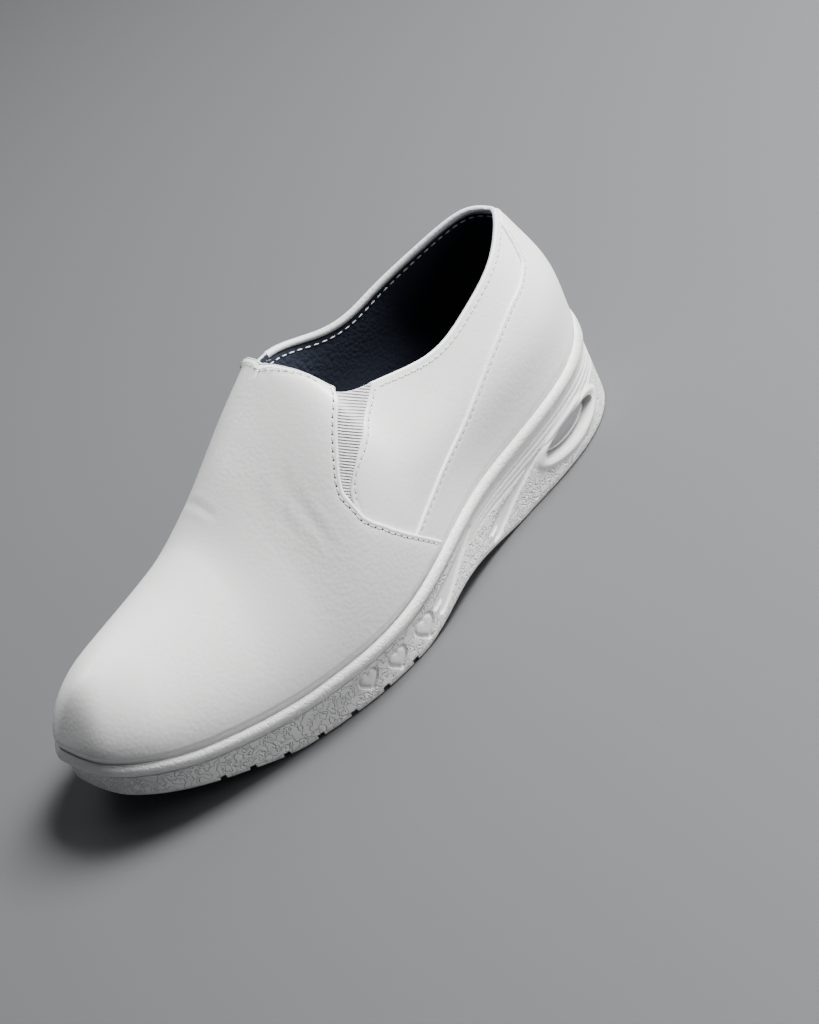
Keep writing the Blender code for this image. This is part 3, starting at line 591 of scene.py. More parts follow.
def towards_toe(start):
    """Places from the panel's edge to the toe part, one column running up to the throat's middle."""
    pull = rows_v ** 6
    corner = (1 - pull) * (start + (TOE_START - start) * 0.4) + pull * RIDGE_START
    near = start[:, None] + (corner - start)[:, None] * (shares_side[:6] / 0.4)[None, :]
    far = corner[:, None] + (TOE_START - corner)[:, None] * ((shares_side[6:] - 0.4) / 0.6)[None, :]
    return np.concatenate([near, far], 1)


lateral_steps = run_from(vamp_s_outer, rows_v, 1, EDGE_STEPS)
medial_steps = run_from(2 - vamp_s_inner, rows_v, -1, EDGE_STEPS)
to_ridge = towards_toe(lateral_steps[:, -1])
from_ridge = 2 - towards_toe(2 - medial_steps[:, -1])
over_toe = np.broadcast_to(np.linspace(TOE_START, 2 - TOE_START, 232)[None, 1:-1], (len(rows_v), 230))
vamp_q = np.concatenate([lateral_steps, to_ridge, over_toe, from_ridge[:, ::-1], medial_steps[:, ::-1]], 1)
vamp_v = np.broadcast_to(rows_v[:, None], vamp_q.shape)
from_edge = edge_distances(vamp_q.shape[1])
vamp_surface = skin(vamp_q, vamp_v)
vamp_n = facing(vamp_q, vamp_v)
on_ridge = place_of(vamp_q[-1])[0] >= RIDGE_START - 1e-6
ridge_n = facing(vamp_q[-1], 0.985) + facing(2 - vamp_q[-1], 0.985)
ridge_n /= np.linalg.norm(ridge_n, axis=-1, keepdims=True)
vamp_n[-1, on_ridge] = ridge_n[on_ridge]
near_top = np.clip((rows_v - 0.88) / 0.08, 0, 1)
past_corner = np.clip((place_of(vamp_q[-1])[0] - 0.56) / 0.06, 0, 1)
blend = near_top[:, None] * past_corner[None, :]
vamp_n = vamp_n * (1 - blend[..., None]) + ridge_n[None] * blend[..., None]
vamp_n /= np.linalg.norm(vamp_n, axis=-1, keepdims=True)
first = len(EDGE_STEPS) + 6
# Creases of the instep: start x, start y, end x, end y, depth, seen from above in millimetres.
CREASES = (
    (151.0, 18.0, 158.0, 45.0, 0.34), (158.0, 12.0, 163.0, 34.0, 0.26), (146.0, -22.0, 153.0, 8.0, 0.20),
    (168.0, -26.0, 172.0, 2.0, 0.16),
)
vamp_lift = edge_rise(from_edge, 1.35)
vamp_points = vamp_surface + vamp_n * (vamp_lift[None, :] * tucked(vamp_surface, vamp_q, vamp_v))[..., None]
for x0, y0, x1, y1, depth in CREASES:
    along = np.array([x1 - x0, y1 - y0])
    offset = vamp_surface[..., :2] - np.array([x0, y0])
    share = offset @ along / (along @ along)
    off = np.linalg.norm(offset - np.clip(share, 0, 1)[..., None] * along, axis=-1)
    trough = np.exp(-(off / 1.1) ** 2) - 0.45 * np.exp(-((off - 2.6) / 1.3) ** 2)
    fade = np.exp(-(np.abs(np.clip(share, -1, 2) - 0.5) / 0.48) ** 4)
    vamp_points -= vamp_n * (depth * trough * fade)[..., None]
foot = vamp_points[:1] - np.array([0, 0, 4.0])
front_panel = laid('front_panel', np.concatenate([foot, vamp_points], 0), leather, 0.45)
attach(front_panel, 'root')

# Folded top edge of the front panel round the throat.
throat_points = np.concatenate([vamp_points[-1, :first], vamp_points[-1, 1 - first:]])
throat_n = np.concatenate([vamp_n[-1, :first], vamp_n[-1, 1 - first:]])
tangent = np.gradient(throat_points, axis=0)
tangent[1:-1] = throat_points[2:] - throat_points[:-2]
throat_up = np.cross(throat_n, tangent)
throat_up /= np.linalg.norm(throat_up, axis=-1, keepdims=True)
throat_up *= np.sign(-(throat_up[:, 0] - throat_up[:, 2] * 0.3).mean())
THROAT_FOLD = (
    (0.0, 0.0), (-0.15, 0.28), (-0.6, 0.5), (-1.3, 0.58), (-2.1, 0.5), (-2.8, 0.25), (-3.3, -0.4),
    (-3.4, -2.2),
)
fold = [throat_points + throat_n * out_by + throat_up * up_by for out_by, up_by in THROAT_FOLD]
throat_edge = laid('throat_edge', np.array(fold), leather, 0.4, edge_rows=(1, 2, 3))
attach(throat_edge, 'root')

# Heel counter: a leather piece round the heel, lapped over the quarters below a seam that runs
# down from the collar to the sole under the front panel.
COUNTER_SEAM = (
    (0.090, 1.040), (0.136, 0.915), (0.152, 0.830), (0.175, 0.760), (0.246, 0.727), (0.324, 0.711),
    (0.390, 0.684), (0.470, 0.648), (0.546, 0.607), (0.620, 0.566), (0.695, 0.527), (0.842, 0.474),
    (0.925, 0.440), (1.038, 0.390), (1.175, 0.328),
)
seam_x = np.array([a * THROAT_X for a, b in COUNTER_SEAM])
seam_z = np.array([b * INSTEP_HEIGHT for a, b in COUNTER_SEAM])
s_half = np.concatenate([np.linspace(0.0, 0.22, 74), np.linspace(0.22, 0.585, 86)[1:]])


def seam_share(side):
    """Share v of the height where the seam crosses each place on that side."""
    v = np.linspace(0.05, 1.0, 300)
    q = s_half if side > 0 else 2 - s_half
    at = crossing(q[:, None], v[None, :], lambda x, z: z - np.interp(x, seam_x, seam_z))
    found = np.interp(at, np.arange(300), v)
    points = skin(q, np.ones_like(q))
    under = points[:, 2] - np.interp(points[:, 0], seam_x, seam_z) < 0
    found = np.where(under, 0.975, np.minimum(found, 0.975))
    return running_mean(found, 2)


seam_outer, seam_inner = seam_share(1), seam_share(-1)
counter_q = np.concatenate([s_half[::-1], -s_half[1:]])
seam_v = np.concatenate([seam_outer[::-1], seam_inner[1:]])
down_steps = EDGE_STEPS[::-1]
seam_line = skin(counter_q, seam_v)
step = skin(counter_q, seam_v) - skin(counter_q, seam_v - 0.02)
speed = np.linalg.norm(step, axis=-1) / 0.02
tangent = np.gradient(seam_line, axis=0)
tangent /= np.linalg.norm(tangent, axis=-1, keepdims=True)
square = np.linalg.norm(np.cross(step / np.linalg.norm(step, axis=-1, keepdims=True), tangent), axis=-1)
drop = down_steps[:, None] / (speed * np.clip(square, 0.3, 1))[None, :]
rows_top = seam_v[None, :] - drop
LOW_ROWS = 43
rows_low = rows_top[:1] * np.linspace(0, 1, LOW_ROWS + 1)[:-1, None]
counter_v = np.concatenate([rows_low, rows_top], 0)
counter_d = np.concatenate([np.full(LOW_ROWS, 9.0), down_steps])
counter_qq = np.broadcast_to(counter_q[None, :], counter_v.shape)
counter_surface = skin(counter_qq, counter_v)
counter_n = facing(counter_qq, counter_v)
counter_lift = edge_rise(counter_d, 0.85, 0.8)
counter_points = counter_surface + counter_n * (
    counter_lift[:, None] * tucked(counter_surface, counter_qq, counter_v))[..., None]
foot = counter_points[:1] - np.array([0, 0, 4.0])
counter = laid('heel_counter', np.concatenate([foot, counter_points], 0), leather, 0.4)
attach(counter, 'root')

# Lining: dark blue cloth all round the inside, from the foot bed up to the folded top edge.
lining_q = np.concatenate([np.linspace(0, 0.6, 151), np.linspace(0.6, 1.4, 161)[1:],
                           np.linspace(1.4, 2, 151)[1:]])
lining_v = np.concatenate([np.linspace(0, 0.9, 40), np.linspace(0.9, 0.995, 8)[1:]])
q_here = np.broadcast_to(lining_q[None, :], (len(lining_v), len(lining_q)))
v_here = np.broadcast_to(lining_v[:, None], q_here.shape)
inside = skin(q_here, v_here)
away_n = facing(q_here, v_here)
inside = inside - away_n * 1.9
foot = inside[:1].copy()
foot[..., 2] = rim_height(ahead(place_of(lining_q)[0])) - CUP_DEPTH + 0.6
lining = laid('lining', np.concatenate([foot, inside], 0), lining_cloth, 0.4, inward=True)
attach(lining, 'root')

# Foot bed: a dark textile sock over foam, dished a little, lying on the sole inside the lining.
sock_q = np.linspace(0, 2, 361)
s_here, _ = place_of(sock_q)
bed_z = rim_height(ahead(s_here)) - CUP_DEPTH + 0.3
between_sides = 0.5 * (plan(s_here)[:, 1] + plan(2 - s_here)[:, 1])
spine = np.stack([np.clip(ahead(s_here), 9, LENGTH - 9), between_sides], -1)
# Edge of the foot bed: in from the shoe's outline, up from its underside.
SOCK_EDGE = (
    (4.2, 0.0), (3.2, 0.5), (3.1, 1.2), (3.1, 4.4), (3.5, 4.9), (4.3, 5.2), (6.0, 4.9), (9.0, 4.3),
    (13.0, 4.05),
)
sock_rows = []
for inset, z in SOCK_EDGE:
    sock_rows.append(np.concatenate([inset_plan(sock_q, inset + 0 * sock_q), (bed_z + z)[:, None]], 1))
for share in (0.3, 0.6, 0.85, 1.0):
    flat = sock_rows[8][:, :2] * (1 - share) + spine * share
    sock_rows.append(np.concatenate([flat, (rim_height(flat[:, 0]) - CUP_DEPTH + 4.3)[:, None]], 1))
foot_bed = laid('foot_bed', np.array(sock_rows), lining_cloth, 0.0, inward=True)
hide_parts('insole')
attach(foot_bed, 'root')

# Sole: one white moulded unit. Under a rounded bead runs a narrow groove; the side wall below it
# has a worm-like wrinkle, thin ribs round the heel, hearts and tapered channels on the outer side,
# and a lipped window through the heel. Its top edge climbs the leather at the back.
wrinkle = bpy.data.node_groups.new('moulded wrinkle', 'ShaderNodeTree')
wrinkle.interface.new_socket('Vector', in_out='INPUT', socket_type='NodeSocketVector')
wrinkle.interface.new_socket('Height', in_out='OUTPUT', socket_type='NodeSocketFloat')
tree = wrinkle.nodes
take = tree.new('NodeGroupInput')
give = tree.new('NodeGroupOutput')
worm = tree.new('ShaderNodeTexNoise')
worm.inputs['Scale'].default_value = 420
worm.inputs['Detail'].default_value = 1.0
worm.inputs['Roughness'].default_value = 0.4
worm.inputs['Distortion'].default_value = 0.6
centre = tree.new('ShaderNodeMath')
centre.operation = 'SUBTRACT'
centre.inputs[1].default_value = 0.5
fold_up = tree.new('ShaderNodeMath')
fold_up.operation = 'ABSOLUTE'
ridge = tree.new('ShaderNodeMapRange')
ridge.interpolation_type = 'SMOOTHSTEP'
ridge.inputs['From Max'].default_value = 0.07
link = wrinkle.links.new
link(take.outputs['Vector'], worm.inputs['Vector'])
link(worm.outputs['Fac'], centre.inputs[0])
link(centre.outputs[0], fold_up.inputs[0])
link(fold_up.outputs[0], ridge.inputs['Value'])
link(ridge.outputs['Result'], give.inputs['Height'])

sole_rubber, nodes, links, shader = new_finish('white moulded sole', 0.5)
shader.inputs['Base Color'].default_value = (0.83, 0.83, 0.82, 1)
place = nodes.new('ShaderNodeTexCoord')
group = nodes.new('ShaderNodeGroup')
group.node_tree = wrinkle
rough = nodes.new('ShaderNodeAttribute')
rough.attribute_name = 'wrinkled'
amount = nodes.new('ShaderNodeMath')
amount.operation = 'MULTIPLY'
links.new(place.outputs['Object'], group.inputs['Vector'])
links.new(group.outputs['Height'], amount.inputs[0])
links.new(rough.outputs['Fac'], amount.inputs[1])
embossed(nodes, links, shader, amount.outputs[0], 0.00045)

BEAD_OUT, BEAD_HEIGHT, SOLE_EDGE, LIP_INSET = 1.9, 5.6, 1.6, 0.5
WINDOW_X, WINDOW_Z, WINDOW_HALF_LONG, WINDOW_HALF_HIGH = 39.7, 13.3, 18.2, 5.0
HEART_SIZE = 7.6
HEARTS = ((0.665, 0.254, 0.86), (0.613, 0.213, 0.95), (0.553, 0.243, 1.10))
CHANNELS = ((0.518, 0.281, 0.400, 0.600, 0.95), (0.364, 0.231, 0.225, 0.540, 0.85))
NOTCHES = ((1, (0.783, 0.748, 0.710, 0.672, 0.634, 0.596, 0.558)),
           (-1, (0.800, 0.765, 0.730, 0.695, 0.660, 0.625, 0.590, 0.555)))

side_s = np.concatenate([np.linspace(0, 0.3, 84), np.linspace(0.3, 0.69, 262)[1:],
                         np.linspace(0.69, 1, 96)[1:]])
sole_q = np.concatenate([side_s, 2 - side_s[::-1][1:]])
s_here, outer_side = place_of(sole_q)
x_here = ahead(s_here)
rim, under, wrap = rim_height(x_here), under_height(x_here), wrap_rise(s_here)
bead = BEAD_OUT * (1 - 0.55 * np.clip(1 - s_here / 0.24, 0, 1))
ribbed = 0.5 * np.clip((0.46 - s_here) / 0.12, 0, 1)
wall_low, wall_high = under + 2.6, rim - BEAD_HEIGHT - 0.6


def row_at(inset, z):
    """Row of points round the sole at an inset from its outline and a height."""
    return np.concatenate([inset_plan(sole_q, inset + 0 * sole_q), (z + 0 * sole_q)[:, None]], 1)


def heart_line(x, z, size, count=44):
    """Side-view outline of a heart."""
    turn = np.linspace(0, 2 * np.pi, count, endpoint=False)
    wide = 16 * np.sin(turn) ** 3
    high = 13 * np.cos(turn) - 5 * np.cos(2 * turn) - 2 * np.cos(3 * turn) - np.cos(4 * turn)
    return np.stack([x + size * wide / 32, z + size * (high + 2.5) / 32], 1)


# Channel with a lobed end: share of its length, share of its width.
LOBED_CHANNEL = (
    (0.10, 0.00), (-0.02, 0.10), (-0.05, 0.30), (0.02, 0.48), (0.20, 0.46), (0.45, 0.30), (0.75, 0.17),
    (1.00, 0.05), (1.00, -0.05), (0.75, -0.17), (0.45, -0.30), (0.20, -0.46), (0.02, -0.48),
    (-0.05, -0.30), (-0.02, -0.10),
)


def channel_line(x0, z0, x1, z1, width):
    """Side-view outline of a tapered channel whose first end has two lobes."""
    axis = np.array([x1 - x0, z1 - z0])
    long = np.linalg.norm(axis)
    axis /= long
    across = np.array([-axis[1], axis[0]])
    start = np.array([x0, z0])
    return np.array([start + axis * long * along + across * width * off for along, off in LOBED_CHANNEL])


def outside_by(shape, points):
    """Distance of side-view points from a closed line, less than 0 inside it."""
    ends = np.roll(shape, -1, 0)
    along_line = ends - shape
    rel = points[:, None, :] - shape[None, :, :]
    t = np.clip((rel * along_line).sum(-1) / (along_line ** 2).sum(-1), 0, 1)
    gap = np.linalg.norm(rel - t[..., None] * along_line, axis=-1).min(1)
    z_low, z_high = shape[None, :, 1] <= points[:, None, 1], ends[None, :, 1] > points[:, None, 1]
    z_low2, z_high2 = shape[None, :, 1] > points[:, None, 1], ends[None, :, 1] <= points[:, None, 1]
    cross_side = along_line[None, :, 0] * rel[..., 1] - along_line[None, :, 1] * rel[..., 0]
    winding = (z_low & z_high & (cross_side > 0)).sum(1) - (z_low2 & z_high2 & (cross_side < 0)).sum(1)
    return np.where(winding != 0, -gap, gap)


def smooth(t):
    """Soft step from 0 to 1."""
    t = np.clip(t, 0, 1)
    return t * t * (3 - 2 * t)


wall_w = np.linspace(0, 1, 58)
wall_z = wall_low[None, :] + (wall_high - wall_low)[None, :] * wall_w[:, None]
wall_in = np.zeros_like(wall_z)
for centre_w, depth in ((0.66, 1.0), (0.75, 0.6), (0.84, 1.0), (0.925, 0.7)):
    rise = (wall_high - wall_low) * centre_w
    wall_in += ribbed[None, :] * depth * np.exp(-((wall_z - wall_low - rise) / 0.42) ** 2)
wrinkled = np.ones_like(wall_z)
wrinkled *= 1 - 0.85 * (wall_w[:, None] > 0.60) * smooth((0.50 - s_here) / 0.06)[None, :]
flat = np.stack([np.broadcast_to(x_here[None, :], wall_z.shape), wall_z], -1).reshape(-1, 2)
outer_flat = np.broadcast_to(outer_side[None, :], wall_z.shape).reshape(-1)
turned = np.hypot((flat[:, 0] - WINDOW_X) / WINDOW_HALF_LONG, (flat[:, 1] - WINDOW_Z) / WINDOW_HALF_HIGH)
along_window = np.abs((flat[:, 0] - WINDOW_X) / WINDOW_HALF_LONG)
window_gap = (turned - 1) * WINDOW_HALF_HIGH * (1 + 0.8 * along_window ** 2)
lip = np.where(window_gap > 0, 0.95 * np.sin(np.pi * np.clip(window_gap / 4.2 + 0.12, 0, 1)), 0.35)
wall_in = wall_in.reshape(-1) - np.maximum(lip, 0) * (window_gap < 3.7)
wall_in *= 1 - 0.999 * ((window_gap > 0) & (window_gap < 3.7)) * (wall_in > 0)
wrinkled = wrinkled.reshape(-1) * smooth((window_gap - 3.2) / 0.8)
for x, z, share in HEARTS:
    shape = heart_line(LENGTH * x, HEEL_SIDE * z, HEART_SIZE * share)
    close = outer_flat & (np.hypot(flat[:, 0] - LENGTH * x, flat[:, 1] - HEEL_SIDE * z) < 8)
    gap = outside_by(shape, flat[close])
    wall_in[close] += 0.85 * smooth((gap + 0.1) / 0.45) * smooth((1.35 - gap) / 0.45)
    wall_in[close] -= 0.15 * smooth(-gap / 1.2)
    wrinkled[close] *= smooth((gap - 0.9) / 0.5)
for x0, z0, x1, z1, share in CHANNELS:
    shape = channel_line(LENGTH * x0, HEEL_SIDE * z0, LENGTH * x1, HEEL_SIDE * z1, HEART_SIZE * share)
    close = outer_flat & (np.abs(flat[:, 0] - LENGTH * (x0 + x1) / 2) < 40)
    gap = outside_by(shape, flat[close])
    wall_in[close] += 0.9 * smooth((0.25 - gap) / 0.6)
    wrinkled[close] *= smooth(gap / 0.6)
wall_in = wall_in.reshape(wall_z.shape)
wrinkled = wrinkled.reshape(wall_z.shape)

edge_plan = inset_plan(sole_q, SOLE_EDGE + 0 * sole_q)
mid_y = 0.5 * (edge_plan[:, 1] + edge_plan[::-1][:, 1])
spine = np.stack([np.clip(x_here, 6, LENGTH - 6), mid_y], 1)
sole_rows, row_wrinkle = [], []
for share in (0.0, 0.3, 0.6, 0.8, 0.92):
    here = spine * (1 - share) + edge_plan * share
    sole_rows.append(np.concatenate([here, under_height(here[:, 0])[:, None]], 1))
    row_wrinkle.append(0.9)
for inset, z in ((1.6, 0.0), (1.1, 0.12), (0.6, 0.45), (0.25, 1.0), (0.08, 1.8)):
    sole_rows.append(row_at(inset, under + z))
    row_wrinkle.append(0.9)
for k in range(len(wall_w)):
    sole_rows.append(row_at(wall_in[k], wall_z[k]))
    row_wrinkle.append(wrinkled[k])
ground = rim - BEAD_HEIGHT
for inset, z in ((0.25, -0.35), (0.75, -0.15), (1.1, 0.05), (0.95, 0.25)):
    sole_rows.append(row_at(inset, ground + z))
    row_wrinkle.append(0.0)
for angle in np.radians((-72, -55, -38, -20, -4, 12, 28, 44, 58, 70, 80)):
    climb = max((np.sin(angle) + 0.952) / 1.937, 0.0)
    sole_rows.append(row_at(0.45 - (bead + 0.45) * np.cos(angle) ** 0.8,
                            ground + 0.45 * BEAD_HEIGHT * (1 + np.sin(angle)) + 0.5 + wrap * climb ** 1.2))
    row_wrinkle.append(0.25)
for inset, z in ((0.25, -0.02), (0.5, -0.25)):
    sole_rows.append(row_at(inset, rim + wrap + z))
    row_wrinkle.append(0.0)
sole_rows.append(row_at(LIP_INSET + 0.02, rim - CUP_DEPTH))
row_wrinkle.append(0.0)
deck = np.concatenate([spine, (rim_height(spine[:, 0]) - CUP_DEPTH)[:, None]], 1)
sole_rows.append(deck)
row_wrinkle.append(0.0)
sole_points = np.array(sole_rows)
marks = np.array([np.broadcast_to(w, sole_q.shape) for w in row_wrinkle])

sole = new_grid('sole', sole_points[:, ::-1])
wrinkled_mark = sole.data.attributes.new('wrinkled', 'FLOAT', 'POINT')
wrinkled_mark.data.foreach_set('value', marks[:, ::-1].astype(np.float32).ravel())
sole.data.materials.append(sole_rubber)
face_outwards(merge=True)
bpy.ops.object.shade_smooth()

# What is cut out of the sole: the heel window, the notches in the forefoot rim and the seat of the insert.
THROUGH = 90
cutters = []
bpy.ops.object.select_all(action='DESELECT')
bpy.ops.mesh.primitive_cylinder_add(vertices=96, radius=1, depth=2)
window = bpy.context.object
window.name = 'window_cutter'
corners = points_of(window)
corners = np.stack([corners[:, 0] * WINDOW_HALF_LONG + WINDOW_X, corners[:, 2] * THROUGH,
                    corners[:, 1] * WINDOW_HALF_HIGH + WINDOW_Z], 1)
put_points(window, corners)
face_outwards()
cutters.append(window)
for side, places in NOTCHES:
    for s in places:
        q = s if side > 0 else 2 - s
        spot = plan(np.array([q]))[0]
        out = spot - inset_plan(np.array([q]), np.array([1.0]))[0]
        out = out + np.array([0.25, 0.0])
        out /= np.linalg.norm(out)
        across = np.array([-out[1], out[0]])
        top = float(under_height(spot[0])) + 2.2
        bpy.ops.object.select_all(action='DESELECT')
        bpy.ops.mesh.primitive_cube_add(size=2)
        box = bpy.context.object
        box.name = 'notch_cutter'
        corners = points_of(box)
        half_wide = 1.7 - 0.35 * (corners[:, 2:] > 0)
        flat_xy = spot + out * (corners[:, :1] * 11.5 - 5.5) + across * corners[:, 1:2] * half_wide
        height = np.where(corners[:, 2] > 0, top, -6.0)
        put_points(box, np.column_stack([flat_xy, height]))
        face_outwards()
        cutters.append(box)
SEAT_FROM, SEAT_NOSE, SEAT_TO, SEAT_RIM, SEAT_DEPTH = 128.0, 190.0, 246.0, 14.0, 3.2
seat_x = SEAT_FROM + (SEAT_TO - SEAT_FROM) * np.sin(np.linspace(0, np.pi / 2, 40))
around = np.linspace(0, 1, 400)
lateral_y = np.interp(seat_x, plan(around)[:, 0], plan(around)[:, 1])
medial_y = np.interp(seat_x, plan(2 - around)[:, 0], plan(2 - around)[:, 1])
nose = np.clip((seat_x - SEAT_NOSE) / (SEAT_TO - SEAT_NOSE), 0, 1)
half = ((lateral_y - medial_y) / 2 - SEAT_RIM) * np.maximum(1 - nose ** 2.6, 0) ** (1 / 2.6)
middle_y = (lateral_y + medial_y) / 2
ring = []
for way, high in ((-1, -9.0), (1, -9.0), (1, SEAT_DEPTH), (-1, SEAT_DEPTH), (-1, -9.0)):
    ring.append(np.stack([seat_x, middle_y + way * half, under_height(seat_x) + high], -1))
seat = new_grid('seat_cutter', np.array(ring))
face_outwards(merge=True, fill=True)
bpy.ops.object.select_all(action='DESELECT')
for cutter in cutters:
    cutter.select_set(True)
bpy.context.view_layer.objects.active = window
bpy.ops.object.join()
for cutter in (window, seat):
    cut = sole.modifiers.new('cut', 'BOOLEAN')
    cut.operation = 'DIFFERENCE'
    cut.solver = 'EXACT'
    cut.object = cutter
    bpy.ops.object.select_all(action='DESELECT')
    sole.select_set(True)
    bpy.context.view_layer.objects.active = sole
    bpy.ops.object.modifier_apply(modifier=cut.name)
    bpy.data.objects.remove(cutter, do_unlink=True)
bpy.ops.object.shade_smooth_by_angle(angle=0.7)
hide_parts('outsole')
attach(sole, 'root')

# Air cushion: a smoky grey capsule set through the heel, seen in the window on either side. Its colour runs
# by height: near-black smoky grey at the top, then painted highlight bands lower down, with a painted dark
# reflection line between them.
smoky_painted_highlights, nodes, links, shader = new_finish('smoky cushion, painted highlights', 0.12)
shader.inputs['Coat Weight'].default_value = 0.6
place = nodes.new('ShaderNodeTexCoord')
split = nodes.new('ShaderNodeSeparateXYZ')
shade = nodes.new('ShaderNodeMapRange')
shade.inputs['From Min'].default_value = 0.0185
shade.inputs['From Max'].default_value = 0.0085
tones = nodes.new('ShaderNodeValToRGB')
# Ramp stops from top to bottom: the capsule's smoky grey, then painted highlights at 0.80 and 1.0, with a
# painted dark reflection line at 0.88.
for at, grey in ((0.0, 0.02), (0.35, 0.05), (0.62, 0.22), (0.80, 0.50), (0.88, 0.12), (1.0, 0.45)):
    stop = tones.color_ramp.elements.new(at) if 0 < at < 1 else tones.color_ramp.elements[int(at)]
    stop.color = (grey, grey, grey * 1.04, 1)
links.new(place.outputs['Object'], split.inputs['Vector'])
links.new(split.outputs['Z'], shade.inputs['Value'])
links.new(shade.outputs['Result'], tones.inputs['Fac'])
links.new(tones.outputs['Color'], shader.inputs['Base Color'])
bpy.ops.object.select_all(action='DESELECT')
bpy.ops.mesh.primitive_uv_sphere_add(segments=64, ring_count=32, radius=1)
capsule = bpy.context.object
capsule.name = 'air_capsule'
corners = points_of(capsule)
blunt = np.maximum(np.hypot(corners[:, 0], corners[:, 2]), 0.02) ** -0.62
depth = np.sign(corners[:, 1]) * np.abs(corners[:, 1]) ** 0.25
CAPSULE_HALF_LONG, CAPSULE_HALF_HIGH, SET_BACK = 17.7, 4.6, 1.9
corner_x = corners[:, 0] * blunt * CAPSULE_HALF_LONG + WINDOW_X
outer_end = np.interp(corner_x, plan(around)[:, 0], plan(around)[:, 1]) - SET_BACK
inner_end = np.interp(corner_x, plan(2 - around)[:, 0], plan(2 - around)[:, 1]) + SET_BACK
corner_y = inner_end + (outer_end - inner_end) * (depth + 1) / 2
corner_z = corners[:, 2] * blunt * CAPSULE_HALF_HIGH + WINDOW_Z
put_points(capsule, np.column_stack([corner_x, corner_y, corner_z]))
capsule.data.materials.append(smoky_painted_highlights)
bpy.ops.object.shade_smooth()
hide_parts('air_cushion')
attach(capsule, 'root')

# Forefoot insert: dark blue rubber with staggered scale-like lugs, let into the sole from below.
blue, nodes, links, shader = new_finish('blue tread rubber', 0.32)
place = nodes.new('ShaderNodeTexCoord')
fine = nodes.new('ShaderNodeTexNoise')
fine.inputs['Scale'].default_value = 900
links.new(place.outputs['Object'], fine.inputs['Vector'])
tinted(nodes, links, shader, (0.004, 0.018, 0.09), (0.008, 0.030, 0.14), fine.outputs['Fac'])
embossed(nodes, links, shader, fine.outputs['Fac'], 0.00008)
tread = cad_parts['forefoot_tread']
for place_in in tread.material_slots:
    place_in.material = blue

# Stitching: white thread in rows beside each edge, sunk between small dark dots standing for the needle's
# holes, which are painted shade in place of the holes' shadow.
thread, nodes, links, shader = new_finish('white thread', 0.7)
place = nodes.new('ShaderNodeTexCoord')
twist = nodes.new('ShaderNodeTexNoise')
twist.inputs['Scale'].default_value = 2500
links.new(place.outputs['Object'], twist.inputs['Vector'])
tinted(nodes, links, shader, (0.62, 0.62, 0.61), (0.80, 0.80, 0.79), twist.outputs['Fac'])
painted_hole_shade, nodes, links, shader = new_finish('painted needle-hole shade', 1.0)
shader.inputs['Base Color'].default_value = (0.05, 0.05, 0.05, 1)


def on_line(m, length, data):
    """What is given along a line, at the distance m along it."""
    return np.stack([np.interp(m, length, data[:, k]) for k in range(3)], -1)


def stitched(name, lines, pitch, bold, hole_material=painted_hole_shade):
    """Rows of stitches along lines of points with their outward directions, as one mesh."""
    bpy.ops.object.select_all(action='DESELECT')
    bpy.ops.mesh.primitive_uv_sphere_add(segments=8, ring_count=6, radius=1)
    pattern = bpy.context.object
    ball = points_of(pattern)
    polys = [tuple(p.vertices) for p in pattern.data.polygons]
    bpy.data.objects.remove(pattern, do_unlink=True)
    points, faces, kinds = [], [], []
    for line, n in lines:
        length = np.concatenate([[0], np.cumsum(np.linalg.norm(np.diff(line, axis=0), axis=1))])
        count = max(int(length[-1] / pitch), 1)
        marks_at = (np.arange(count) + 0.5) * length[-1] / count
        for m in marks_at:
            here, up = on_line(m, length, line), on_line(m, length, n)
            run = on_line(min(m + 0.8, length[-1]), length, line) - on_line(max(m - 0.8, 0), length, line)
            beyond = on_line(min(m + pitch / 2, length[-1]), length, line)
            up /= np.linalg.norm(up)
            run /= np.linalg.norm(run)
            over = np.cross(up, run)
            # Kind 0 is a stitch of thread. Kind 1, half a pitch on, is a small dot of the hole material
            # standing for the hole the needle made; with the default material it is painted shade.
            for kind, middle, size in ((0, here, (0.36 * pitch, 0.30 * bold, 0.22)),
                                       (1, beyond, (0.36 * bold, 0.36 * bold, 0.13))):
                base = len(points)
                lengthwise, across = ball[:, :1] * run * size[0], ball[:, 1:2] * over * size[1]
                points.extend(middle + lengthwise + across + ball[:, 2:] * up * size[2])
                faces.extend(tuple(base + k for k in poly) for poly in polys)
                kinds.extend([kind] * len(polys))
    mesh = bpy.data.meshes.new(name)
    mesh.from_pydata([tuple(p) for p in (np.array(points) + CENTRE) * 0.001], [], faces)
    rows_of = bpy.data.objects.new(name, mesh)
    bpy.context.scene.collection.objects.link(rows_of)
    mesh.materials.append(thread)
    mesh.materials.append(hole_material)
    mesh.polygons.foreach_set('material_index', kinds)
    mesh.polygons.foreach_set('use_smooth', [True] * len(kinds))
    bpy.ops.object.select_all(action='DESELECT')
    rows_of.select_set(True)
    bpy.context.view_layer.objects.active = rows_of
    face_outwards()
    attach(rows_of, 'root')
    return rows_of


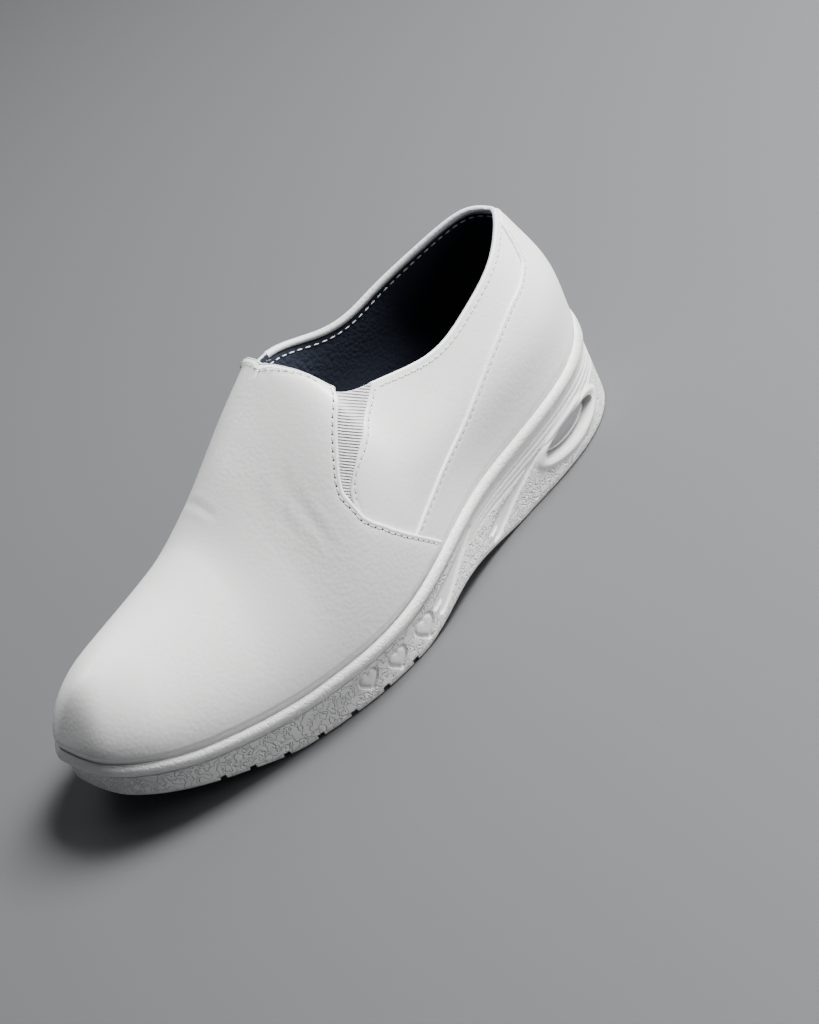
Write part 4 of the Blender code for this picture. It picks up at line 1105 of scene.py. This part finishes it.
STITCH_IN = 1.9
stitch_step = list(EDGE_STEPS).index(STITCH_IN)
keep = rows_v < 0.955
vamp_rows = []
for column in (stitch_step, vamp_q.shape[1] - 1 - stitch_step):
    line, n = vamp_points[:, column], vamp_n[:, column]
    use = keep & (line[:, 2] > rim_height(line[:, 0]) + 3.0)
    vamp_rows.append((line[use], n[use]))
stitched('front_panel_stitching', vamp_rows, 3.0, 1.25)
throat_line = throat_points - throat_up * 2.0
stitched('throat_stitching', [(throat_line, throat_n)], 3.2, 0.8)
quarter_rows = []
for column in (stitch_step, quarter_q.shape[1] - 1 - stitch_step):
    line, n = quarter_points[:, column], direction[:, column]
    use = keep & (line[:, 2] > 64.5)
    quarter_rows.append((line[use], n[use]))
stitched('quarter_front_stitching', quarter_rows, 3.0, 0.95)


def share_below(q, depth):
    """Share v of the height that lies the given depth below the top line."""
    rate = np.linalg.norm((skin(q, 1.0 + 0 * q) - skin(q, 0.97 + 0 * q)) / 0.03, axis=-1)
    return 1 - depth / rate


collar_v = share_below(top_q, 2.2)
collar_n = facing(top_q, collar_v)
collar_line = skin(top_q, collar_v) - collar_n * 0.02
inner_part = slice(stitch_step, -stitch_step)
stitched('collar_stitching', [(collar_line[inner_part], collar_n[inner_part])], 3.0, 0.75)
seam_row = LOW_ROWS + list(down_steps).index(STITCH_IN)
line, n = counter_points[seam_row], counter_n[seam_row]
rising = np.abs(seam_v) < 0.955
half_way = len(s_half) - 1
use_outer = rising & (np.arange(len(counter_q)) < half_way) & (line[:, 2] > rim_height(line[:, 0]) + 4)
use_inner = rising & (np.arange(len(counter_q)) > half_way) & (line[:, 2] > rim_height(line[:, 0]) + 4)
stitched('counter_stitching', [(line[use_outer], n[use_outer]), (line[use_inner], n[use_inner])], 3.1, 0.8)

# The lining is sewn to the collar from inside with a long white stitch.
inside_q = np.linspace(-0.56, 0.56, 500)
inside_v = share_below(inside_q, 4.2)
inside_n = facing(inside_q, inside_v)
inside_line = skin(inside_q, inside_v) - inside_n * 2.0
stitched('lining_stitching', [(inside_line, -inside_n)], 3.6, 1.0, lining_cloth)
